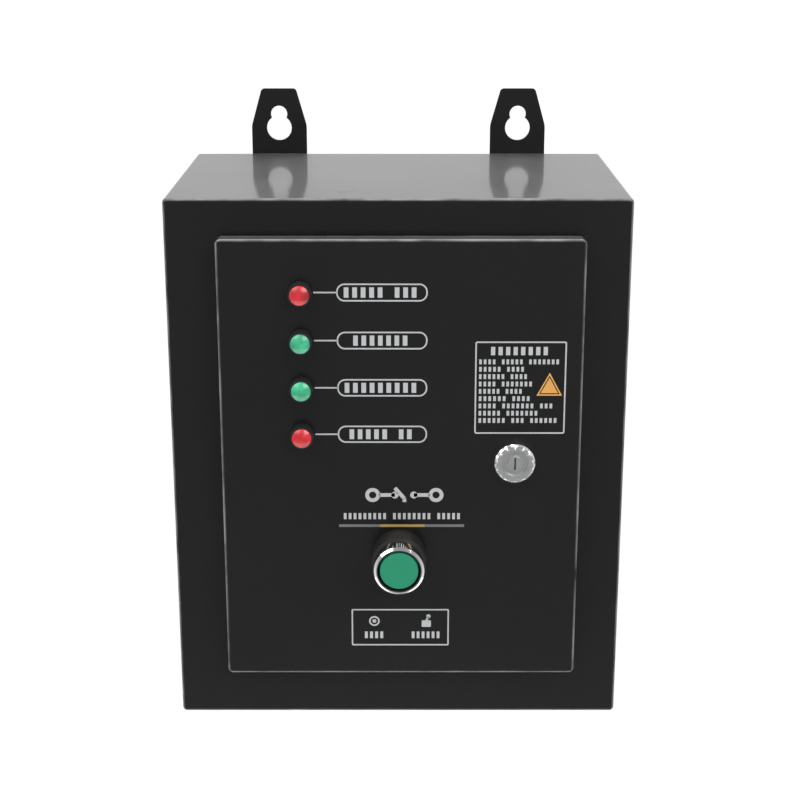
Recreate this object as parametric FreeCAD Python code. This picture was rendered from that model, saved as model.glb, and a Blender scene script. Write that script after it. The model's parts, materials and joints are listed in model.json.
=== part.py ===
import FreeCAD, Part
import math
import os

# Wall-hung changeover box. Millimetres. X is right, +Y goes into the wall, Z is up.
# The origin lies on the wall plane, midway between the four round keyhole lobes.

V = FreeCAD.Vector

# Enclosure
box_width = 250.0
box_height = 300.0
box_depth = 160.0
sheet = 1.5
box_corner = 2.5
front_bend = 1.8

# Fits
fit_gap = 0.05
loose_gap = 0.3

# Hanging ears
ear_thickness = 2.0
ear_spread = 147.0
ear_width = 33.8
ear_reach = 40.0
ear_straight = 17.5
ear_tip_width = 21.0
ear_tuck = 30.0
ear_shoulder_bend = 12.0
ear_tip_bend = 2.5
lobe_radius = 7.6
lobe_height = 16.0
slot_radius = 5.0
slot_rise = 8.5
ear_screw_radius = 2.5
ear_screw_head = 4.5
ear_screw_head_length = 3.0
ear_screw_pitch = 20.0
ear_screw_inset = 15.0

# Door
door_side_margin = 27.0
door_end_margin = 25.0
door_x = 1.5
door_z = 5.5
door_proud = 12.0
door_lift = 2.5
door_corner = 3.0
door_bend = 1.2
lip_inset = 10.8
lip_height = 6.5
gasket_inset = 7.6
gasket_width = 6.0
gasket_gap = 0.2

# Hinges
hinge_inset = 4.5
hinge_stand = 7.0
hinge_end_margin = 37.0
knuckle_radius = 2.7
knuckle_length = 16.0
pin_radius = 1.5
lug_length = 3.0
leg_thickness = 2.4
leaf_width = 5.9
leaf_thickness = 1.5

# Lock
lock_inset = 36.1
lock_above_middle = 2.5
lock_head_radius = 11.0
lock_head_length = 6.0
lock_head_chamfer = 1.0
lock_barrel_radius = 9.0
lock_face_radius = 7.8
lock_face_depth = 4.0
lock_plug_radius = 6.0
lock_rim = 0.8
lock_boss_radius = 4.0
lock_groove_depth = 1.4
lock_behind_frame = 3.5
lock_tail_side = 7.0
lock_tail_length = 3.0
lock_nut_across = 22.0
lock_nut_thickness = 3.5
key_slot_length = 7.0
key_slot_width = 1.2
key_slot_depth = 6.0
cam_length = 36.0
cam_width = 14.0
cam_thickness = 2.0

# Lamps
lamp_inset = 44.5
lamp_drop = 28.5
lamp_pitch = 26.3
lamp_names = ["mains", "generator", "auto", "failure"]
lamp_bezel_radius = 6.2
lamp_bezel_length = 7.0
lamp_barrel_radius = 5.0
lamp_barrel_length = 24.0
lamp_lens_radius = 5.2
lamp_lens_seat = 3.5
lamp_lens_proud = 1.0
lamp_dome_rise = 1.7
lamp_nut_across = 14.0
lamp_nut_thickness = 3.0

# Pushbutton
button_left_of_middle = 1.0
button_below_middle = 52.5
collar_radius = 14.8
collar_length = 13.0
bezel_radius = 13.7
bezel_mouth = 11.6
bezel_chamfer = 1.2
barrel_radius = 11.0
barrel_bore = 8.0
barrel_tail = 14.0
cap_radius = 10.5
cap_length = 5.0
cap_sink = 0.5
cap_edge = 0.6
press_travel = 5.0
press_spare = 0.5
bezel_floor = 1.0
stem_radius = 5.0
block_width = 30.0
block_height = 40.0
block_length = 28.0
block_edge = 1.5
stem_guide = 12.0
ring_nut_radius = 14.6
ring_nut_length = 5.0
ring_nut_notches = 8
ring_nut_notch = 1.2

# Mounting plate on welded studs
plate_side_margin = 41.0
plate_end_margin = 40.0
plate_z = 5.0
plate_thickness = 2.0
stud_shoulder = 10.5
stud_shoulder_radius = 5.0
stud_radius = 3.0
stud_length = 7.0
stud_inset = 10.0
stud_hole_gap = 0.3
stud_nut_across = 10.0
stud_nut_thickness = 5.0

# Rail
rail_drop = 42.5
rail_side = 2.0
rail_end_spare = 16.0
rail_height = 35.0
rail_crown = 25.0
rail_depth = 7.5
rail_sheet = 1.0
rail_screw_radius = 2.5
rail_screw_head = 4.5
rail_screw_head_length = 2.5
rail_screw_inset = 4.5
claw_gap = 0.2
claw_height = 4.0
claw_hook = 6.0

# Contactors
contactor_width = 45.0
contactor_height = 75.0
contactor_base_depth = 36.5
rail_start_spare = 4.0
post_gap = 0.5
cover_margin = 1.0
cover_height = 50.0
cover_step = 24.0
cover_depth = 32.0
nose_width = 30.0
nose_height = 40.0
plastic_edge = 1.0
carrier_width = 11.4
carrier_height = 13.4
carrier_length = 14.0
carrier_in = 1.0
carrier_travel = 3.0
pocket_depth = 16.0
terminal_pitch = 12.5
terminal_inset = 7.0
terminal_well = 4.5
terminal_well_depth = 10.0
terminal_head_radius = 4.0
terminal_head_length = 3.0
terminal_shank_radius = 2.0
terminal_shank_length = 6.0

# Interlock
post_width = 10.0
post_height = 35.0
post_depth = 64.5
cheek_width = 7.0
cheek_thickness = 3.0
cheek_space = 7.0
cheek_reach = 12.0
rocker_clearance = 0.6
rocker_thickness = 2.0
rocker_height = 6.0
rocker_overhang = 3.0
rocker_hub_radius = 3.0

# Fuse holder
fuse_gap = 3.0
fuse_width = 18.0
fuse_height = 80.0
fuse_carrier_width = 12.4
fuse_carrier_height = 30.0
fuse_carrier_back = 8.0
fuse_carrier_front = 16.0
fuse_pivot_down = 17.5
fuse_pivot_sink = 2.0
fuse_pivot_radius = 3.7
fuse_foot = 2.0
fuse_pocket_back = 12.0
fuse_pocket_spare = 1.4
fuse_grip_radius = 2.0
fuse_grip_inset = 4.0

# Control board
board_side = 4.0
board_width = 74.0
board_gap = 4.0
board_height = 62.0
board_stand = 10.0
board_thickness = 1.6
standoff_radius = 3.0
standoff_pin = 1.5
standoff_tip = 2.0
standoff_inset = 4.0
relay_count = 3
relay_pitch = 20.0
relay_width = 16.0
relay_height = 26.0
relay_depth = 15.0
relay_inset = 14.0
relay_drop = 17.0
transformer_width = 34.0
transformer_height = 20.0
transformer_depth = 23.0

# Terminal block
pole_count = 11
poles_left_of_generator = 5
block_drop = 17.0
terminal_block_height = 32.0
terminal_body_depth = 26.0
fin_thickness = 1.5
fin_depth = 8.0
fin_inset = 1.0
tower_width = 5.5
tower_depth = 14.0
block_end_gap = 1.25
cover_axis_ahead = 11.0
cover_axis_down = 3.0
cover_knuckle = 1.8
cover_pin = 1.2
cover_pin_length = 4.0
cover_sheet = 2.0
cover_drop = 30.0

# Conductors
wire_radius = 2.4
wire_bend = 8.0
wire_entry = 4.0
near_lane = 14.0
far_lane = 22.0
lower_run_rise = 4.0
upper_run_rise = 12.0
bridge_low = 8.0
bridge_high = 16.0
load_low = 14.0
load_high = 24.0

# Earth stud
earth_inset = 8.0
earth_rise = 26.0
earth_length = 20.0
earth_nut_count = 2

# Gland plate and glands
gland_plate_lap = 11.0
gland_plate_depth = 72.0
gland_plate_thickness = 2.0
gland_row_y = -85.0
gland_opening_start = 3.0
gland_opening_spare = 13.4
gland_opening_depth = 50.0
gland_screw_radius = 2.0
gland_screw_head = 3.8
gland_screw_head_length = 2.6
gland_screw_inset = 5.5
power_gland_x = -57.0
gland_spacing = 8.0
power_gland_count = 3
power_thread_radius = 12.5
control_gland_gap = 8.4
control_thread_radius = 8.0
gland_thread_over = 11.0
gland_bore_factor = 0.62
gland_seal_factor = 0.42
gland_hex_factor = 2.4
gland_mouth_factor = 0.84
gland_neck_drop = 1.5
gland_hex_length = 7.0
gland_neck_length = 11.0
gland_cap_length = 19.0
gland_cap_gap = 0.5
gland_seal_length = 16.0
gland_cap_floor = 7.0
gland_nut_thickness = 5.0

# Derived planes
bezel_length = cap_sink + cap_length + press_travel + press_spare + bezel_floor
half_height = box_height / 2
back_y = -ear_thickness
panel_y = back_y - sheet
frame_y = back_y - box_depth
flange_y = frame_y + sheet
door_y = frame_y - door_proud
door_inner_y = door_y + sheet
skirt_y = frame_y - door_lift
lip_y = frame_y - lip_height
door_width = box_width - 2 * door_side_margin
door_height = box_height - 2 * door_end_margin
door_left = door_x - door_width / 2
hinge_spread = door_height - 2 * hinge_end_margin
hinge_x = door_left + hinge_inset
hinge_y = frame_y - hinge_stand
hinge_heights = [door_z - hinge_spread / 2, door_z + hinge_spread / 2]
lock_x = door_x + door_width / 2 - lock_inset
lock_z = door_z + lock_above_middle
lamp_x = door_left + lamp_inset
lamp_top_z = door_z + door_height / 2 - lamp_drop
button_x = door_x - button_left_of_middle
button_z = door_z - button_below_middle
plate_width = box_width - 2 * plate_side_margin
plate_height = box_height - 2 * plate_end_margin
plate_left = -plate_width / 2
plate_bottom = plate_z - plate_height / 2
rail_z = plate_z + plate_height / 2 - rail_drop
rail_left = plate_left + rail_side
mains_x = rail_left + rail_start_spare + contactor_width / 2
generator_x = mains_x + contactor_width + post_width + 2 * post_gap
cover_width = contactor_width - 2 * cover_margin
fuse_x = generator_x + contactor_width / 2 + fuse_gap + fuse_width / 2
rail_right = fuse_x + fuse_width / 2 + rail_end_spare
stud_seat_y = panel_y - stud_shoulder
plate_y = stud_seat_y - plate_thickness
rail_y = plate_y - rail_depth
contactor_face = rail_y - contactor_base_depth
cover_face = contactor_face - cover_depth
carrier_in_y = cover_face - carrier_in
carrier_out_y = carrier_in_y - carrier_travel
rocker_x = (mains_x + generator_x) / 2
rocker_arm = (generator_x - mains_x) / 2
rocker_y = (carrier_in_y + carrier_out_y) / 2 - rocker_clearance - rocker_thickness / 2
rocker_tilt = math.degrees(math.asin(carrier_travel / 2 / rocker_arm))
near_y = plate_y - near_lane
far_y = plate_y - far_lane
pole_x = [generator_x + (i - poles_left_of_generator) * terminal_pitch for i in range(pole_count)]
block_bottom = plate_bottom + block_drop
block_top = block_bottom + terminal_block_height
board_left = plate_left + board_side
board_right = board_left + board_width
board_bottom = block_top + board_gap
board_top = board_bottom + board_height
lower_run_z = board_top + lower_run_rise
upper_run_z = board_top + upper_run_rise
earth_x = plate_width / 2 - earth_inset
earth_z = block_top + earth_rise
terminal_face = plate_y - terminal_body_depth
block_left = pole_x[0] - terminal_pitch / 2 - block_end_gap
block_right = pole_x[-1] + terminal_pitch / 2 + block_end_gap
cover_axis_y = terminal_face - cover_axis_ahead
cover_axis_z = block_top - cover_axis_down
board_y = plate_y - board_stand
board_face = board_y - board_thickness
power_gland_pitch = power_thread_radius * gland_hex_factor + gland_spacing
last_power_x = power_gland_x + (power_gland_count - 1) * power_gland_pitch
gland_step = (power_thread_radius + control_thread_radius) * gland_hex_factor / 2
control_gland_x = last_power_x + gland_step + control_gland_gap
gland_opening_left = power_gland_x - power_thread_radius * gland_hex_factor / 2 - gland_opening_start
gland_opening_right = control_gland_x + control_thread_radius * gland_hex_factor / 2 + gland_opening_spare
gland_plate_left = gland_opening_left - gland_plate_lap
gland_plate_right = gland_opening_right + gland_plate_lap
gland_plate_top = -half_height
gland_plate_under = gland_plate_top - gland_plate_thickness
lock_tail_y = frame_y + lock_behind_frame
fuse_pivot_y = contactor_face + fuse_pivot_sink
fuse_pivot_z = rail_z - fuse_pivot_down


def block(x0, x1, y0, y1, z0, z1):
    """A box between two corners, given in any order."""
    low = V(min(x0, x1), min(y0, y1), min(z0, z1))
    return Part.makeBox(abs(x1 - x0), abs(y1 - y0), abs(z1 - z0), low)


def centred(x, z, width, height, y0, y1):
    """A box of a width and height about a point, between two depths."""
    return block(x - width / 2, x + width / 2, y0, y1, z - height / 2, z + height / 2)


def rod(radius, start, end):
    """A round bar between two points."""
    along = end.sub(start)
    return Part.makeCylinder(radius, along.Length, start, along)


def bar_y(radius, x, z, y0, y1):
    """A round bar along Y."""
    return rod(radius, V(x, y0, z), V(x, y1, z))


def bar_z(radius, x, y, z0, z1):
    """A round bar along Z."""
    return rod(radius, V(x, y, z0), V(x, y, z1))


def bar_x(radius, y, z, x0, x1):
    """A round bar along X."""
    return rod(radius, V(x0, y, z), V(x1, y, z))


def hexagon(across, start, end):
    """A hexagonal bar between two points, measured across its flats."""
    along = end.sub(start)
    side = V(0, 0, 1) if abs(along.z) < abs(along.y) else V(1, 0, 0)
    other = along.normalize().cross(side)
    reach = across / math.sqrt(3)
    turns = [math.radians(60 * i) for i in range(7)]
    ring = [start + side * (reach * math.cos(t)) + other * (reach * math.sin(t)) for t in turns]
    return Part.Face(Part.makePolygon(ring)).extrude(end.sub(start))


def edges_along(shape, axis):
    """The straight edges of a shape that run along one axis."""
    found = []
    for edge in shape.Edges:
        run = edge.Vertexes[-1].Point.sub(edge.Vertexes[0].Point)
        if run.Length > 0 and abs(run.normalize().dot(axis)) > 0.999:
            found.append(edge)
    return found


def slab(x, z, width, height, y0, y1, radius):
    """A box with its four edges along Y rounded."""
    body = centred(x, z, width, height, y0, y1)
    return body.makeFillet(radius, edges_along(body, V(0, 1, 0)))


def edges_at_y(shape, y):
    """The edges lying in one Y plane."""
    near = 0.01
    return [e for e in shape.Edges if max(abs(e.BoundBox.YMin - y), abs(e.BoundBox.YMax - y)) < near]


def softened(body, radius):
    """The same solid with every edge along Y rounded."""
    return body.makeFillet(radius, edges_along(body, V(0, 1, 0)))


def tube(points, radius, bend):
    """A round conductor along straight runs joined by tangent arcs."""
    edges = []
    start = points[0]
    for before, corner, after in zip(points, points[1:], points[2:]):
        to_corner = corner.sub(before).normalize()
        from_corner = after.sub(corner).normalize()
        first = corner - to_corner * bend
        last = corner + from_corner * bend
        inward = (from_corner - to_corner).normalize()
        middle = corner + inward * (bend * (math.sqrt(2) - 1))
        edges.append(Part.makeLine(start, first))
        edges.append(Part.Arc(first, middle, last).toShape())
        start = last
    edges.append(Part.makeLine(start, points[-1]))
    section = Part.Wire(Part.makeCircle(radius, points[0], points[1].sub(points[0])))
    return Part.Wire(edges).makePipeShell([section], True, False)


def save(name, pieces):
    """Write one node as a STEP file."""
    solids = [solid for piece in pieces for solid in piece.Solids]
    shape = solids[0] if len(solids) == 1 else Part.makeCompound(solids)
    shape.exportStep("parts/" + name + ".step")


# Where things sit


def ear_places():
    """Each ear's name, its X and whether it points up or down."""
    sides = {"left": -ear_spread / 2, "right": ear_spread / 2}
    levels = {"upper": 1, "lower": -1}
    return [(f"ear_{level}_{side}", sides[side], levels[level]) for level in levels for side in sides]


def ear_screw_places():
    """X and Z of the screws that hold the ears."""
    height = half_height - ear_screw_inset
    offsets = [-ear_screw_pitch / 2, ear_screw_pitch / 2]
    return [(x + off, way * height) for _, x, way in ear_places() for off in offsets]


def stud_places():
    """X and Z of the studs behind the mounting plate."""
    xs = [plate_left + stud_inset, -plate_left - stud_inset]
    zs = [plate_bottom + stud_inset, plate_bottom + plate_height - stud_inset]
    return [(x, z) for x in xs for z in zs]


def rail_screw_places():
    """X of the screws at the two ends of the rail."""
    return [rail_left + rail_screw_inset * 2, rail_right - rail_screw_inset]


def standoff_places():
    """X and Z of the board's four standoffs."""
    xs = [board_left + standoff_inset, board_right - standoff_inset]
    zs = [board_bottom + standoff_inset, board_top - standoff_inset]
    return [(x, z) for x in xs for z in zs]


def lamp_places():
    """Name and height of each lamp, from the top down."""
    return [(name, lamp_top_z - i * lamp_pitch) for i, name in enumerate(lamp_names)]


def gland_places():
    """X and thread radius of each gland."""
    power = [(power_gland_x + i * power_gland_pitch, power_thread_radius) for i in range(power_gland_count)]
    return power + [(control_gland_x, control_thread_radius)]


def gland_screw_places():
    """X and Y of the screws round the gland plate."""
    first = gland_plate_left + gland_screw_inset
    last = gland_plate_right - gland_screw_inset
    deep = gland_plate_depth / 2 - gland_screw_inset
    return [(x, gland_row_y + y) for x in (first, (first + last) / 2, last) for y in (-deep, deep)]


def contactor_terminals(x):
    """X and Z of the six terminal screws of one contactor."""
    half = contactor_height / 2 - terminal_inset
    return [(x + i * terminal_pitch, rail_z + way * half) for way in (-1, 1) for i in (-1, 0, 1)]


# Enclosure


def enclosure_shell():
    """Four walls and the front frame, with a rain lip round the doorway and a cut-out below."""
    body = slab(0, 0, box_width, box_height, frame_y, back_y, box_corner)
    body = body.makeFillet(front_bend, edges_at_y(body, frame_y))
    hollow_corner = box_corner - sheet
    hollow = slab(0, 0, box_width - 2 * sheet, box_height - 2 * sheet, flange_y, 0, hollow_corner)
    lip = slab(
        door_x, door_z, door_width - 2 * lip_inset, door_height - 2 * lip_inset, lip_y, flange_y, door_corner
    )
    inset = lip_inset + sheet
    doorway = slab(
        door_x, door_z, door_width - 2 * inset, door_height - 2 * inset, lip_y, flange_y, door_corner - sheet
    )
    body = body.cut(hollow).fuse(lip).cut(doorway).removeSplitter()
    opening = block(
        gland_opening_left,
        gland_opening_right,
        gland_row_y - gland_opening_depth / 2,
        gland_row_y + gland_opening_depth / 2,
        -half_height,
        -half_height + sheet,
    )
    body = body.cut(opening)
    for x, y in gland_screw_places():
        body = body.cut(bar_z(gland_screw_radius, x, y, -half_height, -half_height + sheet))
    return body


def back_panel():
    """The sheet welded inside the rear of the walls."""
    panel = slab(
        0, 0, box_width - 2 * sheet, box_height - 2 * sheet, panel_y, back_y, box_corner - sheet
    )
    for x, z in ear_screw_places():
        panel = panel.cut(bar_y(ear_screw_radius, x, z, panel_y, back_y))
    return panel


def ear(x, way):
    """One flat hanging ear with a keyhole, pointing up or down."""
    edge = half_height
    half = ear_width / 2
    tip = ear_tip_width / 2
    heights = [edge - ear_tuck, edge + ear_straight, edge + ear_reach]
    right = [(half, heights[0]), (half, heights[1]), (tip, heights[2])]
    left = [(-u, w) for u, w in reversed(right)]
    ring = [V(x + u, back_y, way * w) for u, w in right + left + right[:1]]
    plate = Part.Face(Part.makePolygon(ring)).extrude(V(0, ear_thickness, 0))
    along = edges_along(plate, V(0, 1, 0))
    shoulders = [e for e in along if abs(abs(e.BoundBox.Center.z) - heights[1]) < 0.1]
    plate = plate.makeFillet(ear_shoulder_bend, shoulders)
    along = edges_along(plate, V(0, 1, 0))
    tips = [e for e in along if abs(abs(e.BoundBox.Center.z) - heights[2]) < 0.1]
    plate = plate.makeFillet(ear_tip_bend, tips)
    lobe_z = way * (edge + lobe_height)
    # The lower ears keep their slots upward so that all four lobes drop over the screws together.
    slot_z = lobe_z + slot_rise
    keyhole = bar_y(lobe_radius, x, lobe_z, back_y, 0).fuse(bar_y(slot_radius, x, slot_z, back_y, 0))
    plate = plate.cut(keyhole)
    for sx, sz in ear_screw_places():
        plate = plate.cut(bar_y(ear_screw_radius, sx, sz, back_y, 0))
    return plate


def ear_screws():
    """Screws driven from inside, through the back panel into the ears, ending just short of the wall."""
    screws = []
    for x, z in ear_screw_places():
        head = bar_y(ear_screw_head, x, z, panel_y - ear_screw_head_length, panel_y)
        shank = bar_y(ear_screw_radius, x, z, panel_y, -loose_gap)
        screws.append(head.fuse(shank).removeSplitter())
    return screws


def plate_studs():
    """Shouldered studs welded to the back panel."""
    studs = []
    for x, z in stud_places():
        shoulder = bar_y(stud_shoulder_radius, x, z, stud_seat_y, panel_y)
        stem = bar_y(stud_radius, x, z, plate_y - stud_length, stud_seat_y)
        studs.append(shoulder.fuse(stem).removeSplitter())
    return studs


def nut_y(across, bore, x, z, y, thickness):
    """A hexagon nut along Y that stands in front of a plane."""
    body = hexagon(across, V(x, y, z), V(x, y - thickness, z))
    return body.cut(bar_y(bore, x, z, y - thickness, y))


def plate_nuts():
    """Nuts that hold the mounting plate."""
    return [nut_y(stud_nut_across, stud_radius, x, z, plate_y, stud_nut_thickness) for x, z in stud_places()]


def mounting_plate():
    """The flat plate that carries everything inside."""
    plate = slab(0, plate_z, plate_width, plate_height, plate_y, stud_seat_y, door_corner)
    for x, z in stud_places():
        plate = plate.cut(bar_y(stud_radius + stud_hole_gap, x, z, plate_y, stud_seat_y))
    for x in rail_screw_places():
        plate = plate.cut(bar_y(rail_screw_radius, x, rail_z, plate_y, stud_seat_y))
    return plate


# Rail and the devices on it


def din_rail():
    """A top-hat rail."""
    half = rail_height / 2
    crown = rail_crown / 2
    outer = block(rail_left, rail_right, plate_y, rail_y, rail_z - crown, rail_z + crown)
    clear = crown - rail_sheet
    inner = block(rail_left, rail_right, plate_y - rail_sheet, rail_y, rail_z - clear, rail_z + clear)
    flange = block(rail_left, rail_right, rail_y + rail_sheet, rail_y, rail_z - half, rail_z + half)
    rail = outer.fuse(flange).cut(inner).removeSplitter()
    for x in rail_screw_places():
        rail = rail.cut(bar_y(rail_screw_radius, x, rail_z, plate_y - rail_sheet, plate_y))
    return rail


def rail_screws():
    """Screws that hold the rail on the mounting plate."""
    seat = plate_y - rail_sheet
    screws = []
    for x in rail_screw_places():
        head = bar_y(rail_screw_head, x, rail_z, seat - rail_screw_head_length, seat)
        screws.append(head.fuse(bar_y(rail_screw_radius, x, rail_z, seat, stud_seat_y)).removeSplitter())
    return screws


def rail_claws(x, width):
    """Two claws that reach over the edges of the rail."""
    claws = []
    for way in (-1, 1):
        near = rail_z + way * (rail_height / 2 + claw_gap)
        far = near + way * claw_height
        claws.append(block(x - width / 2, x + width / 2, rail_y, rail_y + claw_hook, near, far))
    return claws


def wire_sockets(x, z, way):
    """The two sockets behind one terminal for conductors arriving along Z."""
    return [bar_z(wire_radius, x, y, z, z - way * wire_entry) for y in (near_y, far_y)]


def contactor_base(x):
    """The lower moulding with terminal wells, sockets and rail claws."""
    body = centred(x, rail_z, contactor_width, contactor_height, contactor_face, rail_y)
    body = softened(body, plastic_edge)
    for claw in rail_claws(x, contactor_width - 2 * plastic_edge):
        body = body.fuse(claw)
    for tx, tz in contactor_terminals(x):
        way = 1 if tz > rail_z else -1
        well_floor = contactor_face + terminal_well_depth
        body = body.cut(bar_y(terminal_well, tx, tz, contactor_face, well_floor))
        body = body.cut(bar_y(terminal_shank_radius, tx, tz, well_floor, well_floor + terminal_shank_length))
        for socket in wire_sockets(tx, rail_z + way * contactor_height / 2, way):
            body = body.cut(socket)
    return body


def contactor_cover(x):
    """The stepped upper moulding with the window for its moving carrier."""
    step_y = contactor_face - cover_step
    lower = softened(centred(x, rail_z, cover_width, cover_height, step_y, contactor_face), plastic_edge)
    nose = softened(centred(x, rail_z, nose_width, nose_height, cover_face, step_y), plastic_edge)
    window = centred(
        x,
        rail_z,
        carrier_width + 2 * loose_gap,
        carrier_height + 2 * loose_gap,
        cover_face,
        cover_face + pocket_depth,
    )
    return lower.fuse(nose).cut(window).removeSplitter()


def contactor_carrier(x, front):
    """The sliding block that shows whether the contactor is pulled in."""
    body = centred(x, rail_z, carrier_width, carrier_height, front, front + carrier_length)
    return softened(body, plastic_edge)


def screw_y(x, z, seat, head_radius, head_length, shank_radius, shank_length):
    """A slotted round-head screw along Y with its head in front of a plane."""
    head = bar_y(head_radius, x, z, seat - head_length, seat)
    slot = centred(x, z, head_radius * 2, head_length / 2, seat - head_length, seat - head_length / 2)
    return head.cut(slot).fuse(bar_y(shank_radius, x, z, seat, seat + shank_length)).removeSplitter()


def terminal_screw(x, z, seat):
    """One terminal screw standing on a plane."""
    return screw_y(
        x, z, seat, terminal_head_radius, terminal_head_length, terminal_shank_radius, terminal_shank_length
    )


def contactor_screws():
    """The terminal screws of both contactors."""
    places = contactor_terminals(mains_x) + contactor_terminals(generator_x)
    return [terminal_screw(x, z, contactor_face + terminal_well_depth) for x, z in places]


def interlock_post():
    """The post between the contactors with two cheeks that carry the rocker."""
    face = rail_y - post_depth
    body = softened(centred(rocker_x, rail_z, post_width, post_height, face, rail_y), plastic_edge)
    for way in (-1, 1):
        near = rail_z + way * cheek_space / 2
        far = near + way * cheek_thickness
        cheek = block(
            rocker_x - cheek_width / 2, rocker_x + cheek_width / 2, face - cheek_reach, face, near, far
        )
        body = body.fuse(cheek)
    reach = cheek_space / 2 + cheek_thickness
    return body.cut(bar_z(pin_radius + fit_gap, rocker_x, rocker_y, rail_z - reach, rail_z + reach))


def interlock_rocker():
    """The see-saw bar in front of the two carriers, tilted to its rest position."""
    half = rocker_arm + rocker_overhang
    bar = block(
        rocker_x - half,
        rocker_x + half,
        rocker_y - rocker_thickness / 2,
        rocker_y + rocker_thickness / 2,
        rail_z - rocker_height / 2,
        rail_z + rocker_height / 2,
    )
    bar.rotate(V(rocker_x, rocker_y, rail_z), V(0, 0, 1), -rocker_tilt)
    hub_half = cheek_space / 2 - loose_gap
    hub = bar_z(rocker_hub_radius, rocker_x, rocker_y, rail_z - hub_half, rail_z + hub_half)
    pin_half = cheek_space / 2 + cheek_thickness
    pin = bar_z(pin_radius, rocker_x, rocker_y, rail_z - pin_half, rail_z + pin_half)
    return bar.fuse(hub).fuse(pin).removeSplitter()


def fuse_base():
    """The fuse holder's body with a pocket for its hinged carrier."""
    body = softened(centred(fuse_x, rail_z, fuse_width, fuse_height, contactor_face, rail_y), plastic_edge)
    for claw in rail_claws(fuse_x, fuse_width - 2 * plastic_edge):
        body = body.fuse(claw)
    half = fuse_carrier_width / 2 + loose_gap
    pocket = block(
        fuse_x - half,
        fuse_x + half,
        contactor_face,
        fuse_pivot_y + fuse_pocket_back,
        fuse_pivot_z - fuse_pivot_radius - loose_gap,
        fuse_pivot_z + fuse_carrier_height + fuse_pocket_spare,
    )
    side = fuse_width / 2
    hole = bar_x(pin_radius + fit_gap, fuse_pivot_y, fuse_pivot_z, fuse_x - side, fuse_x + side)
    return body.cut(pocket).cut(hole)


def fuse_carrier():
    """The hinged carrier that swings out with the fuse."""
    half = fuse_carrier_width / 2
    root = bar_x(fuse_pivot_radius, fuse_pivot_y, fuse_pivot_z, fuse_x - half, fuse_x + half)
    body = block(
        fuse_x - half,
        fuse_x + half,
        fuse_pivot_y - fuse_carrier_front,
        fuse_pivot_y + fuse_carrier_back,
        fuse_pivot_z + fuse_foot,
        fuse_pivot_z + fuse_carrier_height,
    )
    grip_y = fuse_pivot_y - fuse_carrier_front + fuse_grip_inset
    for z in (fuse_pivot_z + fuse_foot + fuse_grip_inset, fuse_pivot_z + fuse_carrier_height):
        body = body.cut(bar_x(fuse_grip_radius, grip_y, z, fuse_x - half, fuse_x + half))
    pin_half = fuse_width / 2
    pin = bar_x(pin_radius, fuse_pivot_y, fuse_pivot_z, fuse_x - pin_half, fuse_x + pin_half)
    return body.fuse(root).fuse(pin).removeSplitter()


# Control board


def control_board():
    """The bare board with its four mounting holes."""
    board = block(board_left, board_right, board_y, board_face, board_bottom, board_top)
    for x, z in standoff_places():
        board = board.cut(bar_y(standoff_pin, x, z, board_face, board_y))
    return board


def board_standoffs():
    """Pegs between the mounting plate and the board."""
    pegs = []
    for x, z in standoff_places():
        peg = bar_y(standoff_radius, x, z, board_y, plate_y)
        tip = bar_y(standoff_pin, x, z, board_face - standoff_tip, board_y)
        pegs.append(peg.fuse(tip).removeSplitter())
    return pegs


def board_relays():
    """A row of relays on the board."""
    relays = []
    for i in range(relay_count):
        x = board_left + relay_inset + i * relay_pitch
        z = board_top - relay_drop
        body = centred(x, z, relay_width, relay_height, board_face - relay_depth, board_face)
        relays.append(softened(body, plastic_edge))
    return relays


def board_transformer():
    """The encapsulated mains transformer on the board."""
    x = (board_left + board_right) / 2
    z = board_bottom + standoff_inset + transformer_height / 2
    body = centred(x, z, transformer_width, transformer_height, board_face - transformer_depth, board_face)
    return softened(body, block_edge)


# Terminal block


def terminal_base():
    """The barrier block with one fin between neighbouring poles and a tower at each end."""
    body = block(block_left, block_right, terminal_face, plate_y, block_bottom, block_top)
    for i in range(pole_count + 1):
        x = pole_x[0] + (i - 0.5) * terminal_pitch
        fin = block(
            x - fin_thickness / 2,
            x + fin_thickness / 2,
            terminal_face - fin_depth,
            terminal_face,
            block_bottom + fin_inset,
            block_top - fin_inset,
        )
        body = body.fuse(fin)
    for edge, way in ((block_left, -1), (block_right, 1)):
        outer = edge + way * tower_width
        tower = block(edge, outer, terminal_face - tower_depth, plate_y, block_bottom, block_top)
        hole = bar_x(cover_pin + fit_gap, cover_axis_y, cover_axis_z, edge, outer)
        body = body.fuse(tower).cut(hole)
    seat_z = (block_top + block_bottom) / 2
    shank_end = terminal_face + terminal_shank_length
    for x in pole_x:
        body = body.cut(bar_y(terminal_shank_radius, x, seat_z, terminal_face, shank_end))
        for socket in wire_sockets(x, block_top, 1):
            body = body.cut(socket)
    return body.removeSplitter()


def terminal_screws():
    """One clamping screw for each pole."""
    seat_z = (block_top + block_bottom) / 2
    return [terminal_screw(x, seat_z, terminal_face) for x in pole_x]


def terminal_cover():
    """The clear cover, which hangs from its top edge in front of the poles."""
    left = block_left + loose_gap
    right = block_right - loose_gap
    front = cover_axis_y - cover_sheet / 2
    plate = block(left, right, front, front + cover_sheet, cover_axis_z - cover_drop, cover_axis_z)
    knuckle = bar_x(cover_knuckle, cover_axis_y, cover_axis_z, left, right)
    pin = bar_x(cover_pin, cover_axis_y, cover_axis_z, left - cover_pin_length, right + cover_pin_length)
    return plate.fuse(knuckle).fuse(pin).removeSplitter()


# Conductors


def rise_and_cross(x0, z0, x1, z1, level, y):
    """A conductor that leaves one socket, crosses at a level and enters another socket."""
    return tube([V(x0, y, z0), V(x0, y, level), V(x1, y, level), V(x1, y, z1)], wire_radius, wire_bend)


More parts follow.
